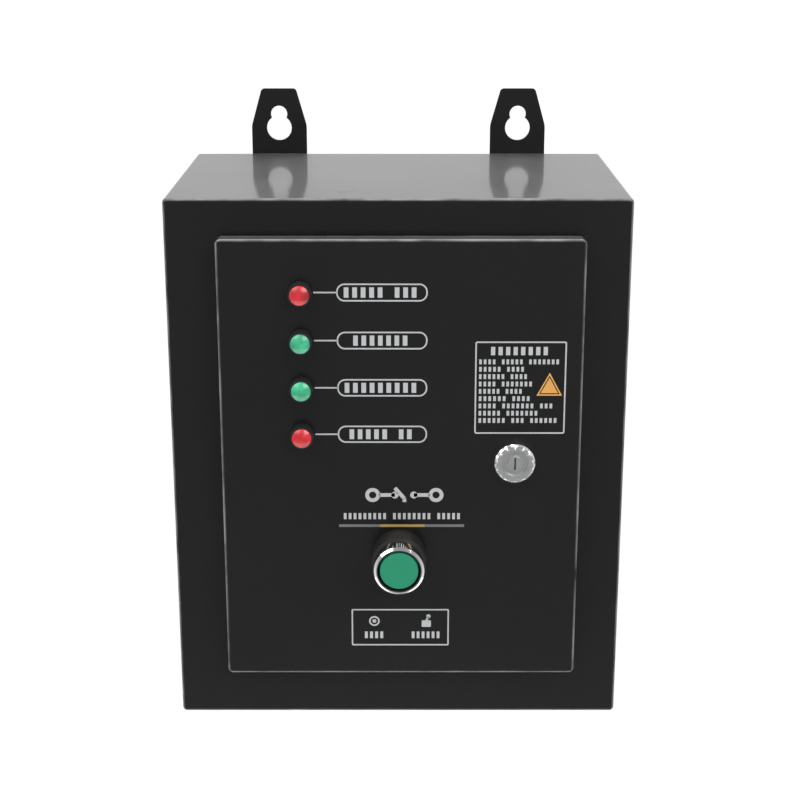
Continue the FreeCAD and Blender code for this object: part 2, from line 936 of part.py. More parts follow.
def power_wires():
    """Fixed conductors between the terminal block and the contactors."""
    start = block_top - wire_entry
    under = rail_z - contactor_height / 2 + wire_entry
    over = rail_z + contactor_height / 2
    inside = over - wire_entry
    mains = [mains_x - terminal_pitch, mains_x + terminal_pitch]
    generator = [generator_x - terminal_pitch, generator_x + terminal_pitch]
    # The lower crossing reaches the farther pole, so the two conductors never meet.
    supply, ret, load_in, load_out = pole_x[7], pole_x[8], pole_x[9], pole_x[10]
    wires = [
        rise_and_cross(supply, start, mains[0], under, lower_run_z, near_y),
        rise_and_cross(ret, start, mains[1], under, upper_run_z, near_y),
        rise_and_cross(load_in, start, generator[1], inside, over + load_low, near_y),
        rise_and_cross(load_out, start, generator[0], inside, over + load_high, near_y),
        rise_and_cross(mains[1], inside, generator[0], inside, over + bridge_low + wire_bend, far_y),
        rise_and_cross(mains[0], inside, generator[1], inside, over + bridge_high + wire_bend, far_y),
    ]
    for x in pole_x[5:7]:
        wires.append(bar_z(wire_radius, x, far_y, start, under))
    return wires


def earth_stud():
    """The protective earth stud on the mounting plate."""
    return bar_y(stud_radius, earth_x, earth_z, plate_y - earth_length, plate_y)


def earth_nuts():
    """The nuts run down the earth stud."""
    step = stud_nut_thickness + sheet
    return [
        nut_y(stud_nut_across, stud_radius, earth_x, earth_z, plate_y - i * step, stud_nut_thickness)
        for i in range(earth_nut_count)
    ]


# Gland plate


def gland_plate():
    """The flat plate screwed under the cut-out in the floor."""
    plate = block(
        gland_plate_left,
        gland_plate_right,
        gland_row_y - gland_plate_depth / 2,
        gland_row_y + gland_plate_depth / 2,
        gland_plate_under,
        gland_plate_top,
    )
    plate = plate.makeFillet(door_corner, edges_along(plate, V(0, 0, 1)))
    for x, radius in gland_places():
        plate = plate.cut(bar_z(radius, x, gland_row_y, gland_plate_under, gland_plate_top))
    for x, y in gland_screw_places():
        plate = plate.cut(bar_z(gland_screw_radius, x, y, gland_plate_under, gland_plate_top))
    return plate


def gland_plate_screws():
    """Screws driven upward through the gland plate into the floor."""
    screws = []
    for x, y in gland_screw_places():
        head = bar_z(gland_screw_head, x, y, gland_plate_under - gland_screw_head_length, gland_plate_under)
        shank = bar_z(gland_screw_radius, x, y, gland_plate_under, gland_plate_top + sheet)
        screws.append(head.fuse(shank).removeSplitter())
    return screws


def gland_bore(radius):
    """The radius of the hole through a gland body."""
    return radius * gland_bore_factor


def gland_body(x, radius):
    """A gland body with a hexagon below the plate and threads above and below it."""
    neck_top = gland_plate_under - gland_hex_length
    top = V(x, gland_row_y, gland_plate_under)
    low = V(x, gland_row_y, neck_top)
    body = hexagon(radius * gland_hex_factor, top, low)
    body = body.fuse(bar_z(radius, x, gland_row_y, gland_plate_under, gland_plate_under + gland_thread_over))
    body = body.fuse(bar_z(radius - gland_neck_drop, x, gland_row_y, neck_top - gland_neck_length, neck_top))
    length_end = gland_plate_under + gland_thread_over
    bore = bar_z(gland_bore(radius), x, gland_row_y, neck_top - gland_neck_length, length_end)
    return body.cut(bore).removeSplitter()


def gland_cap(x, radius):
    """The domed cap nut that squeezes the seal."""
    top = gland_plate_under - gland_hex_length - gland_cap_gap
    low = top - gland_cap_length
    hex_end = top - gland_cap_length / 2
    cap = hexagon(radius * gland_hex_factor, V(x, gland_row_y, top), V(x, gland_row_y, hex_end))
    wide = radius * gland_hex_factor / 2
    narrow = radius * gland_mouth_factor
    dome = Part.makeCone(wide, narrow, hex_end - low, V(x, gland_row_y, hex_end), V(0, 0, -1))
    cap = cap.fuse(dome)
    cap = cap.cut(bar_z(radius - gland_neck_drop, x, gland_row_y, low + gland_cap_floor, top))
    return cap.cut(bar_z(gland_bore(radius), x, gland_row_y, low, top)).removeSplitter()


def gland_seal(x, radius):
    """The rubber sleeve inside a gland."""
    low = gland_plate_under - gland_hex_length - gland_cap_gap - gland_cap_length
    bore = gland_bore(radius)
    sleeve = bar_z(bore, x, gland_row_y, low, low + gland_seal_length)
    return sleeve.cut(bar_z(radius * gland_seal_factor, x, gland_row_y, low, low + gland_seal_length))


def gland_locknut(x, radius):
    """The nut inside the box that holds a gland."""
    low = V(x, gland_row_y, gland_plate_top)
    nut = hexagon(radius * gland_hex_factor, low, low + V(0, 0, gland_nut_thickness))
    return nut.cut(bar_z(radius, x, gland_row_y, gland_plate_top, gland_plate_top + gland_nut_thickness))


# Door


def door_pan():
    """The door: a flat front with a folded skirt, holes for its fittings and a window at each hinge."""
    body = slab(door_x, door_z, door_width, door_height, door_y, skirt_y, door_corner)
    body = body.makeFillet(door_bend, edges_at_y(body, door_y))
    hollow = slab(
        door_x,
        door_z,
        door_width - 2 * sheet,
        door_height - 2 * sheet,
        door_inner_y,
        skirt_y,
        door_corner - sheet,
    )
    body = body.cut(hollow)
    window_half = knuckle_length / 2 + loose_gap
    for z in hinge_heights:
        window = block(door_left, door_left + sheet, door_inner_y, skirt_y, z - window_half, z + window_half)
        body = body.cut(window)
    for _, z in lamp_places():
        body = body.cut(bar_y(lamp_barrel_radius, lamp_x, z, door_y, door_inner_y))
    body = body.cut(bar_y(lock_barrel_radius, lock_x, lock_z, door_y, door_inner_y))
    return body.cut(bar_y(barrel_radius, button_x, button_z, door_y, door_inner_y))


def door_gasket():
    """The foam seal behind the door that meets the rain lip."""
    back = lip_y - gasket_gap
    outer_x = door_width - 2 * gasket_inset
    outer_z = door_height - 2 * gasket_inset
    outer = slab(door_x, door_z, outer_x, outer_z, door_inner_y, back, gasket_width)
    inner = centred(
        door_x, door_z, outer_x - 2 * gasket_width, outer_z - 2 * gasket_width, door_inner_y, back
    )
    return outer.cut(inner)


def hinge_brackets():
    """Knuckles on short legs welded to the front frame."""
    brackets = []
    half = knuckle_length / 2
    for z in hinge_heights:
        left = hinge_x - leg_thickness / 2
        knuckle = bar_z(knuckle_radius, hinge_x, hinge_y, z - half, z + half)
        leg = block(left, left + leg_thickness, hinge_y, frame_y, z - half, z + half)
        leaf = block(left, left + leaf_width, frame_y - leaf_thickness, frame_y, z - half, z + half)
        body = knuckle.fuse(leg).fuse(leaf)
        bore = bar_z(pin_radius + fit_gap, hinge_x, hinge_y, z - half, z + half)
        brackets.append(body.cut(bore).removeSplitter())
    return brackets


def lug_spans(z):
    """The two height ranges taken by the door lugs round one hinge."""
    near = knuckle_length / 2 + loose_gap
    return [(z + way * near, z + way * (near + lug_length)) for way in (-1, 1)]


def hinge_lugs():
    """Lugs welded in the door's corner above and below each knuckle."""
    lugs = []
    wall_x = door_left + sheet
    for z in hinge_heights:
        for z0, z1 in lug_spans(z):
            lug = block(wall_x, hinge_x + knuckle_radius, door_inner_y, hinge_y + knuckle_radius, z0, z1)
            lugs.append(lug.cut(bar_z(pin_radius, hinge_x, hinge_y, z0, z1)))
    return lugs


def hinge_pins():
    """Pins fixed in the lugs that turn in the knuckles."""
    half = knuckle_length / 2 + loose_gap + lug_length
    return [bar_z(pin_radius, hinge_x, hinge_y, z - half, z + half) for z in hinge_heights]


# Lock


def lock_body():
    """The lock's fixed head and barrel."""
    front = door_y - lock_head_length
    head = bar_y(lock_head_radius, lock_x, lock_z, front, door_y)
    rim = [e for e in head.Edges if abs(e.BoundBox.YMax - front) < 0.01]
    head = head.makeChamfer(lock_head_chamfer, rim)
    body = head.fuse(bar_y(lock_barrel_radius, lock_x, lock_z, door_y, lock_tail_y))
    face = bar_y(lock_face_radius + fit_gap, lock_x, lock_z, front, front + lock_face_depth)
    bore = bar_y(lock_plug_radius + fit_gap, lock_x, lock_z, front, lock_tail_y)
    return body.cut(face).cut(bore).removeSplitter()


def lock_plug():
    """The part that turns with the key."""
    front = door_y - lock_head_length
    body = bar_y(lock_face_radius, lock_x, lock_z, front, front + lock_face_depth - fit_gap)
    body = body.fuse(bar_y(lock_plug_radius, lock_x, lock_z, front, lock_tail_y + loose_gap))
    tail_end = lock_tail_y + loose_gap + lock_tail_length
    tail = centred(lock_x, lock_z, lock_tail_side, lock_tail_side, lock_tail_y + loose_gap, tail_end)
    slot = centred(lock_x, lock_z, key_slot_width, key_slot_length, front, front + key_slot_depth)
    groove = bar_y(lock_face_radius - lock_rim, lock_x, lock_z, front, front + lock_groove_depth)
    groove = groove.cut(bar_y(lock_boss_radius, lock_x, lock_z, front, front + lock_groove_depth))
    return body.fuse(tail).cut(slot).cut(groove).removeSplitter()


def lock_cam():
    """The latch bar, hanging straight down when unlocked."""
    near = lock_tail_y + loose_gap
    end_z = lock_z - cam_length + cam_width / 2
    bar = block(lock_x - cam_width / 2, lock_x + cam_width / 2, near, near + cam_thickness, end_z, lock_z)
    for z in (end_z, lock_z):
        bar = bar.fuse(bar_y(cam_width / 2, lock_x, z, near, near + cam_thickness))
    hole = centred(lock_x, lock_z, lock_tail_side, lock_tail_side, near, near + cam_thickness)
    return bar.cut(hole).removeSplitter()


def lock_nut():
    """The nut that clamps the lock to the door."""
    end = door_inner_y + lock_nut_thickness
    body = hexagon(lock_nut_across, V(lock_x, door_inner_y, lock_z), V(lock_x, end, lock_z))
    return body.cut(bar_y(lock_barrel_radius, lock_x, lock_z, door_inner_y, end))


# Lamps


def lamp_housing(z):
    """A lamp's bezel and barrel."""
    front = door_y - lamp_bezel_length
    bezel = bar_y(lamp_bezel_radius, lamp_x, z, front, door_y)
    body = bezel.fuse(bar_y(lamp_barrel_radius, lamp_x, z, door_y, door_y + lamp_barrel_length))
    return body.cut(bar_y(lamp_lens_radius, lamp_x, z, front, front + lamp_lens_seat)).removeSplitter()


def lamp_lens(z):
    """A lamp's domed lens, seated in the bezel."""
    front = door_y - lamp_bezel_length
    rim_y = front - lamp_lens_proud
    body = bar_y(lamp_lens_radius, lamp_x, z, rim_y, front + lamp_lens_seat)
    ball = (lamp_lens_radius**2 + lamp_dome_rise**2) / (2 * lamp_dome_rise)
    dome = Part.makeSphere(ball, V(lamp_x, rim_y - lamp_dome_rise + ball, z))
    keep = bar_y(lamp_lens_radius, lamp_x, z, rim_y - lamp_dome_rise, rim_y)
    return body.fuse(dome.common(keep)).removeSplitter()


def lamp_nut(z):
    """The nut behind the door that holds a lamp."""
    end = door_inner_y + lamp_nut_thickness
    body = hexagon(lamp_nut_across, V(lamp_x, door_inner_y, z), V(lamp_x, end, z))
    return body.cut(bar_y(lamp_barrel_radius, lamp_x, z, door_inner_y, end))


# Pushbutton


def button_bar(radius, y0, y1):
    """A round bar on the pushbutton's axis."""
    return bar_y(radius, button_x, button_z, y0, y1)


def button_collar():
    """The black sleeve between the door and the bright bezel."""
    front = door_y - collar_length
    return button_bar(collar_radius, front, door_y).cut(button_bar(barrel_radius, front, door_y))


def button_bezel():
    """The bright bezel and the barrel that passes through the door."""
    seat = door_y - collar_length
    front = seat - bezel_length
    ring = button_bar(bezel_radius, front, seat)
    rim = [e for e in ring.Edges if abs(e.BoundBox.YMax - front) < 0.01]
    ring = ring.makeChamfer(bezel_chamfer, rim)
    end = door_inner_y + barrel_tail
    body = ring.fuse(button_bar(barrel_radius, seat, end))
    floor = seat - bezel_floor
    return body.cut(button_bar(bezel_mouth, front, floor)).cut(button_bar(barrel_bore, floor, end))


def button_cap():
    """The pressed cap."""
    front = door_y - collar_length - bezel_length + cap_sink
    cap = button_bar(cap_radius, front, front + cap_length)
    rim = [e for e in cap.Edges if abs(e.BoundBox.YMax - front) < 0.01]
    return cap.makeFillet(cap_edge, rim)


def button_stem():
    """The stem that carries the cap's movement into the contact block."""
    start = door_y - collar_length - bezel_length + cap_sink + cap_length
    end = door_inner_y + barrel_tail + stem_guide - press_travel - press_spare
    return button_bar(stem_radius, start, end)


def button_block():
    """The contact block behind the door."""
    near = door_inner_y + barrel_tail
    body = centred(button_x, button_z, block_width, block_height, near, near + block_length)
    body = softened(body, block_edge)
    return body.cut(button_bar(stem_radius + fit_gap, near, near + stem_guide))


def button_nut():
    """The notched ring nut that clamps the pushbutton."""
    end = door_inner_y + ring_nut_length
    nut = button_bar(ring_nut_radius, door_inner_y, end).cut(button_bar(barrel_radius, door_inner_y, end))
    for i in range(ring_nut_notches):
        turn = 2 * math.pi * i / ring_nut_notches
        x = button_x + ring_nut_radius * math.cos(turn)
        z = button_z + ring_nut_radius * math.sin(turn)
        nut = nut.cut(bar_y(ring_nut_notch, x, z, door_inner_y, end))
    return nut


def save_enclosure():
    save("enclosure_shell", [enclosure_shell()])
    save("back_panel", [back_panel()])
    for name, x, way in ear_places():
        save(name, [ear(x, way)])
    save("ear_screws", ear_screws())
    save("plate_studs", plate_studs())
    save("mounting_plate", [mounting_plate()])
    save("plate_nuts", plate_nuts())


def save_devices():
    save("din_rail", [din_rail()])
    save("rail_screws", rail_screws())
    for name, x, front in (("mains", mains_x, carrier_in_y), ("generator", generator_x, carrier_out_y)):
        save(name + "_contactor_base", [contactor_base(x)])
        save(name + "_contactor_cover", [contactor_cover(x)])
        save(name + "_contactor_carrier", [contactor_carrier(x, front)])
    save("contactor_screws", contactor_screws())
    save("interlock_post", [interlock_post()])
    save("interlock_rocker", [interlock_rocker()])
    save("fuse_base", [fuse_base()])
    save("fuse_carrier", [fuse_carrier()])
    save("control_board", [control_board()])
    save("board_standoffs", board_standoffs())
    save("board_relays", board_relays())
    save("board_transformer", [board_transformer()])
    save("terminal_base", [terminal_base()])
    save("terminal_screws", terminal_screws())
    save("terminal_cover", [terminal_cover()])
    save("power_wires", power_wires())
    save("earth_stud", [earth_stud()])
    save("earth_nuts", earth_nuts())


def save_glands():
    save("gland_plate", [gland_plate()])
    save("gland_plate_screws", gland_plate_screws())
    save("gland_bodies", [gland_body(x, radius) for x, radius in gland_places()])
    save("gland_caps", [gland_cap(x, radius) for x, radius in gland_places()])
    save("gland_seals", [gland_seal(x, radius) for x, radius in gland_places()])
    save("gland_locknuts", [gland_locknut(x, radius) for x, radius in gland_places()])


def save_door():
    save("door_pan", [door_pan()])
    save("door_gasket", [door_gasket()])
    save("hinge_brackets", hinge_brackets())
    save("hinge_lugs", hinge_lugs())
    save("hinge_pins", hinge_pins())
    save("lock_body", [lock_body()])
    save("lock_plug", [lock_plug()])
    save("lock_cam", [lock_cam()])
    save("lock_nut", [lock_nut()])
    save("lamp_housings", [lamp_housing(z) for _, z in lamp_places()])
    for name, z in lamp_places():
        save("lamp_lens_" + name, [lamp_lens(z)])
    save("lamp_nuts", [lamp_nut(z) for _, z in lamp_places()])
    save("button_collar", [button_collar()])
    save("button_bezel", [button_bezel()])
    save("button_cap", [button_cap()])
    save("button_stem", [button_stem()])
    save("button_block", [button_block()])
    save("button_nut", [button_nut()])


os.makedirs("parts", exist_ok=True)
save_enclosure()
save_devices()
save_glands()
save_door()
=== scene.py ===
import json
import math

import bpy
import numpy as np
from bpy.types import Operator
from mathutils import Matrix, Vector


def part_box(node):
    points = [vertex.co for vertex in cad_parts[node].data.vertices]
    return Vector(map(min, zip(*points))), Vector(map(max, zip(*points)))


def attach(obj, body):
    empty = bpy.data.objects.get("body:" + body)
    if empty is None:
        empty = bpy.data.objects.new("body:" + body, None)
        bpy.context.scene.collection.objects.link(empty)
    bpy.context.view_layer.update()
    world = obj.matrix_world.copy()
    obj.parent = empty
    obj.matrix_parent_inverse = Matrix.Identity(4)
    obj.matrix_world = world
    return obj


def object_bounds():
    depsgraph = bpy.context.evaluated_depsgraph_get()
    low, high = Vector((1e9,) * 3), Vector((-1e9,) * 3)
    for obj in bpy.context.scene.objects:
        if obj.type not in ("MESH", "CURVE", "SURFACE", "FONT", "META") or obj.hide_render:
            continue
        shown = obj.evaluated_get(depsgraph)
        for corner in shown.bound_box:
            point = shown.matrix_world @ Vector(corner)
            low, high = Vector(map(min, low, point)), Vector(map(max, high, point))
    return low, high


bl_info = {
    "name": "Changeover Box",
    "version": (1, 0, 0),
    "blender": (4, 5, 0),
    "location": "View3D > Sidebar > Changeover",
    "description": "Finishes, door printing, board parts and studio for a wall-hung changeover box",
    "category": "Object",
}

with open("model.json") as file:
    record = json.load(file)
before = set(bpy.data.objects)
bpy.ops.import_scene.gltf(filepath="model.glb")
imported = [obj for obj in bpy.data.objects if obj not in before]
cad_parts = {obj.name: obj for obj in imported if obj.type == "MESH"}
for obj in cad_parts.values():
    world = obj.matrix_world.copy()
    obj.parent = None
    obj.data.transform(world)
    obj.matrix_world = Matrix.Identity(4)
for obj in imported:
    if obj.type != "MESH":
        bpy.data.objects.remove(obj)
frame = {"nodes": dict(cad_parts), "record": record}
CAD_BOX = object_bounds()
MM = 0.001
FULL_TURN = 2 * math.pi
SLOT_OF = {part["node"]: part["material_slot"] for part in frame["record"]["subparts"]}
LENSES = sorted(node for node in SLOT_OF if node.startswith("lamp_lens_"))


# -------- shader maths


def maths(operation, swapped=False):
    """A method that adds a Math node, with its two values the other way round if swapped."""

    def method(self, other=0.0):
        first, second = (other, self) if swapped else (self, other)
        return self.paint.add("ShaderNodeMath", {"operation": operation}, {0: first, 1: second})

    return method


class Wire:
    """A shader socket whose arithmetic adds Math nodes."""

    def __init__(self, paint, socket):
        self.paint = paint
        self.socket = socket

    __add__ = __radd__ = maths("ADD")
    __mul__ = __rmul__ = maths("MULTIPLY")
    __sub__, __rsub__ = maths("SUBTRACT"), maths("SUBTRACT", swapped=True)
    __pow__ = maths("POWER")
    size, least, most = maths("ABSOLUTE"), maths("MINIMUM"), maths("MAXIMUM")

    def between(self, low, high):
        """A ramp from nought at low to one at high, held at both ends."""
        values = {"Value": self, "From Min": low, "From Max": high}
        return self.paint.add("ShaderNodeMapRange", {"clamp": True}, values)


class Paint:
    """One procedural material and the few kinds of node it is made of."""

    def __init__(self, name):
        self.material = bpy.data.materials.new(name)
        self.material.use_nodes = True
        self.tree = self.material.node_tree
        self.shader = self.tree.nodes["Principled BSDF"]
        self.place = self.add("ShaderNodeTexCoord", {}, {}, "Object")

    def add(self, kind, settings, values, output=0):
        """Adds a node: its settings first, then each socket's value or link."""
        node = self.tree.nodes.new(kind)
        for key, value in settings.items():
            setattr(node, key, value)
        for key, value in values.items():
            self.feed(node.inputs[key], value)
        return Wire(self, node.outputs[output])

    def feed(self, socket, value):
        """Links a wire to a socket, or sets the socket's own value."""
        if isinstance(value, Wire):
            self.tree.links.new(value.socket, socket)
        else:
            socket.default_value = value

    def noise(self, scale, detail=2.0, stretch=(1.0, 1.0, 1.0)):
        """Cloudy noise from nought to one, with its scale in cycles per metre."""
        place = self.add("ShaderNodeMapping", {}, {"Vector": self.place, "Scale": stretch})
        values = {"Vector": place, "Scale": scale, "Detail": detail}
        return self.add("ShaderNodeTexNoise", {}, values, "Fac")

    def cells(self, scale, feature="F1", output="Distance"):
        """Voronoi cells, with their scale in cells per metre."""
        values = {"Vector": self.place, "Scale": scale}
        return self.add("ShaderNodeTexVoronoi", {"feature": feature}, values, output)

    def axes(self, middle=(0.0, 0.0, 0.0)):
        """The X, Y and Z of each point, measured from a middle point."""
        values = {"Vector": self.place, "Location": tuple(-float(value) for value in middle)}
        place = self.add("ShaderNodeMapping", {}, values)
        return [self.add("ShaderNodeSeparateXYZ", {}, {"Vector": place}, axis) for axis in "XYZ"]

    def from_axis(self, middle):
        """The distance from a line along Y through a middle point."""
        x, _, z = self.axes(middle)
        return (x * x + z * z) ** 0.5

    def edge_nearness(self, box, reach):
        """One on the edges of a box, nought beyond a reach, by the middle one of the gaps to its faces."""
        low, high = (np.array(corner) for corner in box)
        half = (high - low) / 2
        gaps = [float(half[i]) - axis.size() for i, axis in enumerate(self.axes((low + high) / 2))]
        nearer, farther = gaps[0].least(gaps[1]), gaps[0].most(gaps[1])
        return 1 - nearer.most(farther.least(gaps[2])).between(reach * 0.3, reach)

    def blend(self, amount, first, second):
        """Two colours mixed by an amount."""
        colours = [(*colour, 1.0) if isinstance(colour, tuple) else colour for colour in (first, second)]
        values = {"Factor": amount, 6: colours[0], 7: colours[1]}
        return self.add("ShaderNodeMix", {"data_type": "RGBA"}, values, 2)

    def finish(self, shade, rough, height=None, depth=0.0, **values):
        """Feeds the shader, with a bump as deep as depth in metres, and returns the material."""
        if height:
            bump = {"Height": height, "Distance": depth, "Strength": 1.0}
            values["Normal"] = self.add("ShaderNodeBump", {}, bump, "Normal")
        for key, value in {"Base_Color": shade, "Roughness": rough, **values}.items():
            socket = self.shader.inputs[key.replace("_", " ")]
            if isinstance(value, tuple) and socket.type == "RGBA":
                value = (*value, 1.0)
            self.feed(socket, value)
        return self.material


def tinted(colour, gain):
    """A colour made lighter or darker, kept within one."""
    return tuple(min(1.0, channel * gain) for channel in colour)


# -------- finishes


def powder_coat(paint, colour, gloss, box=None):
    """Powder coat with orange peel and dust. A boxed piece has a painted highlight along its edges, patchy
    like rubbed paint, and a lighter film on its roof that is dust and painted sheen.
    """
    peel = paint.noise(700.0, 2.0)
    clouds = paint.noise(9.0, 5.0)
    dust = paint.noise(2600.0, 1.0).between(0.66, 0.8)
    scuffs = paint.noise(60.0, 6.0, (1.0, 1.0, 0.15)).between(0.62, 0.8)
    shade = paint.blend(clouds * 0.55, colour, tinted(colour, 1.7))
    shade = paint.blend(dust * 0.06, shade, (0.2, 0.2, 0.19))
    rough = gloss + clouds * 0.06 + scuffs * 0.05 + dust * 0.08
    if box:
        # Lighter grey along the edges, broken up by noise: a painted highlight where the rounded edges catch
        # the light.
        rubbed = paint.edge_nearness(box, 1.5 * MM) * paint.noise(55.0, 5.0).between(0.25, 0.7)
        shade = paint.blend(rubbed * 0.9, shade, (0.32, 0.32, 0.31))
        roof = float(box[1][2])
        # The roof film lightens the top face: dust, with a painted sheen.
        dust_and_sheen_patches = paint.noise(14.0, 4.0).between(-0.4, 0.8)
        dust_and_sheen = paint.axes()[2].between(roof - 0.4 * MM, roof - 0.1 * MM) * dust_and_sheen_patches
        shade = paint.blend(dust_and_sheen * 0.18, shade, (0.4, 0.388, 0.383))
        rough = rough + rubbed * 0.08 + dust_and_sheen * 0.2
    return paint.finish(shade, rough, peel, 0.000025, IOR=1.28, Coat_Weight=0.5, Coat_Roughness=0.1)


def plated_steel(paint, colour):
    """Bright zinc plate: drawn lines, a warm and cool bloom and small dull spots."""
    lines = paint.noise(900.0, 2.0, (1.0, 0.06, 1.0))
    bloom = paint.noise(45.0, 3.0)
    spots = paint.noise(420.0, 2.0).between(0.62, 0.75)
    shade = paint.blend(bloom, tinted(colour, 0.9), (colour[0] * 1.04, colour[1], colour[2] * 0.92))
    shade = paint.blend(spots * 0.35, shade, tinted(colour, 0.55))
    return paint.finish(shade, 0.24 + lines * 0.16 + spots * 0.2, lines, 0.00001, Metallic=1.0)


def spangled_sheet(paint, colour):
    """Galvanised sheet: crystal spangles that differ in shade and gloss."""
    crystals = paint.cells(110.0, output="Color")
    grain = paint.add("ShaderNodeSeparateColor", {}, {"Color": crystals}, "Red")
    edges = paint.cells(110.0, "DISTANCE_TO_EDGE").between(0.0, 0.06)
    shade = paint.blend(grain, tinted(colour, 0.72), tinted(colour, 1.12))
    return paint.finish(shade, 0.34 + grain * 0.22, edges, 0.00002, Metallic=1.0)


def polish(paint, colour):
    """Polished metal: its smeared colour, the smears and the hairline marks."""
    hair = paint.noise(3200.0, 1.0, (1.0, 0.1, 0.4))
    smear = paint.noise(120.0, 4.0).between(0.45, 0.8)
    return paint.blend(smear * 0.3, colour, tinted(colour, 0.82)), smear, hair


def chrome(paint, colour):
    """Chrome plate with hairline polishing marks and faint smears."""
    bright, smear, hair = polish(paint, colour)
    return paint.finish(bright, 0.05 + smear * 0.12 + hair * 0.04, hair, 0.000002, Metallic=1.0)


def bezel_chrome(paint, colour, middle, bore):
    """Chrome with polishing smears outside a bore, and inside it a matt black throat that is painted shade.
    """
    # Inside the bore the chrome is painted matt black and non-metallic: painted shade in the throat.
    shaded_throat = 1 - paint.from_axis(middle).between(bore, bore + 0.1 * MM)
    bright, smear, hair = polish(paint, colour)
    shade = paint.blend(shaded_throat, bright, (0.01, 0.01, 0.01))
    rough = 0.05 + smear * 0.1 + hair * 0.04 + shaded_throat * 0.4
    return paint.finish(shade, rough, hair, 0.000002, Metallic=1 - shaded_throat)


def faceted_chrome(paint, colour, middle, facets):
    """Chrome with shallow facets cut round its rim, which catch and lose the light in turn."""
    x, _, z = paint.axes(middle)
    turn = paint.add("ShaderNodeMath", {"operation": "ARCTAN2"}, {0: z, 1: x})
    facet = paint.add("ShaderNodeMath", {"operation": "PINGPONG"}, {0: turn * (facets / math.pi), 1: 1.0})
    rim = paint.from_axis(middle).between(8.2 * MM, 10.4 * MM)
    smear = paint.noise(240.0, 4.0).between(0.4, 0.8)
    shade = paint.blend(smear * 0.4, tinted(colour, 1.1), tinted(colour, 0.75))
    return paint.finish(shade, 0.14 + smear * 0.12, facet * rim, 0.0006, Metallic=1.0)


def turned_face(paint, colour, middle):
    """Satin nickel with fine turned rings about an axis and a few rubbed patches."""
    radius = paint.from_axis(middle)
    x, _, z = paint.axes(middle)
    place = paint.add("ShaderNodeCombineXYZ", {}, {"X": radius, "Y": x * 0.02, "Z": z * 0.02})
    values = {"Vector": place, "Scale": 4200.0, "Detail": 2.0}
    rings = paint.add("ShaderNodeTexNoise", {}, values, "Fac")
    rubbed = paint.noise(260.0, 4.0).between(0.5, 0.75)
    shade = paint.blend(rubbed * 0.5, colour, tinted(colour, 1.5))
    return paint.finish(shade, 0.3 + rings * 0.18 - rubbed * 0.1, rings, 0.000012, Metallic=1.0)


def brass(paint, colour):
    """Turned brass with fine rings and patches of tarnish."""
    rings = paint.noise(1500.0, 1.0, (0.2, 1.0, 0.2))
    tarnish = paint.noise(160.0, 4.0).between(0.4, 0.75)
    shade = paint.blend(tarnish * 0.6, colour, tinted(colour, 0.45))
    return paint.finish(shade, 0.22 + tarnish * 0.25, rings, 0.00001, Metallic=1.0)


def moulded(paint, colour, gloss):
    """Moulded plastic: spark-eroded grain, slight flow clouding and rubbed patches."""
    grain = paint.noise(2400.0, 2.0)
    flow = paint.noise(28.0, 4.0)
    rubbed = paint.noise(90.0, 5.0).between(0.55, 0.8)
    shade = paint.blend(flow * 0.5, tinted(colour, 0.86), tinted(colour, 1.12))
    return paint.finish(shade, gloss + grain * 0.10 - rubbed * 0.09, grain, 0.000014, IOR=1.49)


def foam(paint, colour):
    """Closed-cell foam with open pores on its skin."""
    pores = paint.cells(1900.0)
    shade = paint.blend(pores.between(0.0, 0.5), tinted(colour, 0.4), tinted(colour, 1.6))
    return paint.finish(shade, 0.78 + pores * 0.15, pores, 0.00015)


def rubber(paint, colour):
    """Matt rubber with a faint bloom and moulding grain."""
    grain = paint.noise(1800.0, 3.0)
    bloom = paint.noise(110.0, 4.0).between(0.4, 0.8)
    shade = paint.blend(bloom * 0.5, colour, tinted(colour, 2.4))
    return paint.finish(shade, 0.62 + grain * 0.16, grain, 0.00003)


def lens(paint, colour, glow):
    """A lamp lens: a thin clear coat over small diffusing prisms, with a little light inside."""
    prisms = paint.cells(520.0)
    patch = paint.noise(150.0, 1.0).between(0.3, 0.75)
    core = paint.blend(patch, tinted(colour, 0.55), tinted(colour, 1.25))
    core = paint.blend(prisms.between(0.2, 0.9) * 0.25, core, tinted(colour, 0.5))
    scatter = {"Subsurface_Weight": 0.2, "Subsurface_Radius": (0.004, 0.004, 0.004)}
    coat = {"Coat_Weight": 0.45, "Coat_Roughness": 0.12}
    light = {"Emission_Color": core, "Emission_Strength": glow}
    return paint.finish(core, 0.3 + prisms * 0.08, prisms, 0.00001, **scatter, **coat, **light)


def pressed_cap(paint, colour):
    """The pushbutton's cap: even satin plastic with a fingertip's rubbed patch and a faint painted glow."""
    grain = paint.noise(2600.0, 1.0)
    rubbed = paint.noise(170.0, 3.0).between(0.4, 0.7)
    shade = paint.blend(rubbed * 0.3, colour, tinted(colour, 1.12))
    rough = 0.42 + grain * 0.08 - rubbed * 0.1
    # A faint glow in the cap's own colour: painted light, since the cap is no lamp.
    return paint.finish(shade, rough, grain, 0.00001, Emission_Color=colour, Emission_Strength=0.12)


def clear_sheet(paint, colour):
    """Clear polycarbonate with fine scratches and a dusty film."""
    scratches = paint.noise(900.0, 2.0, (0.08, 1.0, 1.0)).between(0.6, 0.75)
    shade = paint.blend(scratches * 0.3, colour, (1.0, 1.0, 1.0))
    rough = 0.05 + scratches * 0.25
    return paint.finish(shade, rough, scratches, 0.000008, Transmission_Weight=0.9, IOR=1.58)


def insulation(paint, colour):
    """Wire insulation with a soft gloss and faint drawing lines."""
    drawn = paint.noise(1300.0, 2.0, (1.0, 1.0, 0.05))
    scuff = paint.noise(90.0, 4.0).between(0.5, 0.8)
    shade = paint.blend(scuff * 0.4, colour, tinted(colour, 2.2))
    return paint.finish(shade, 0.34 + drawn * 0.12 + scuff * 0.1, drawn, 0.00002)


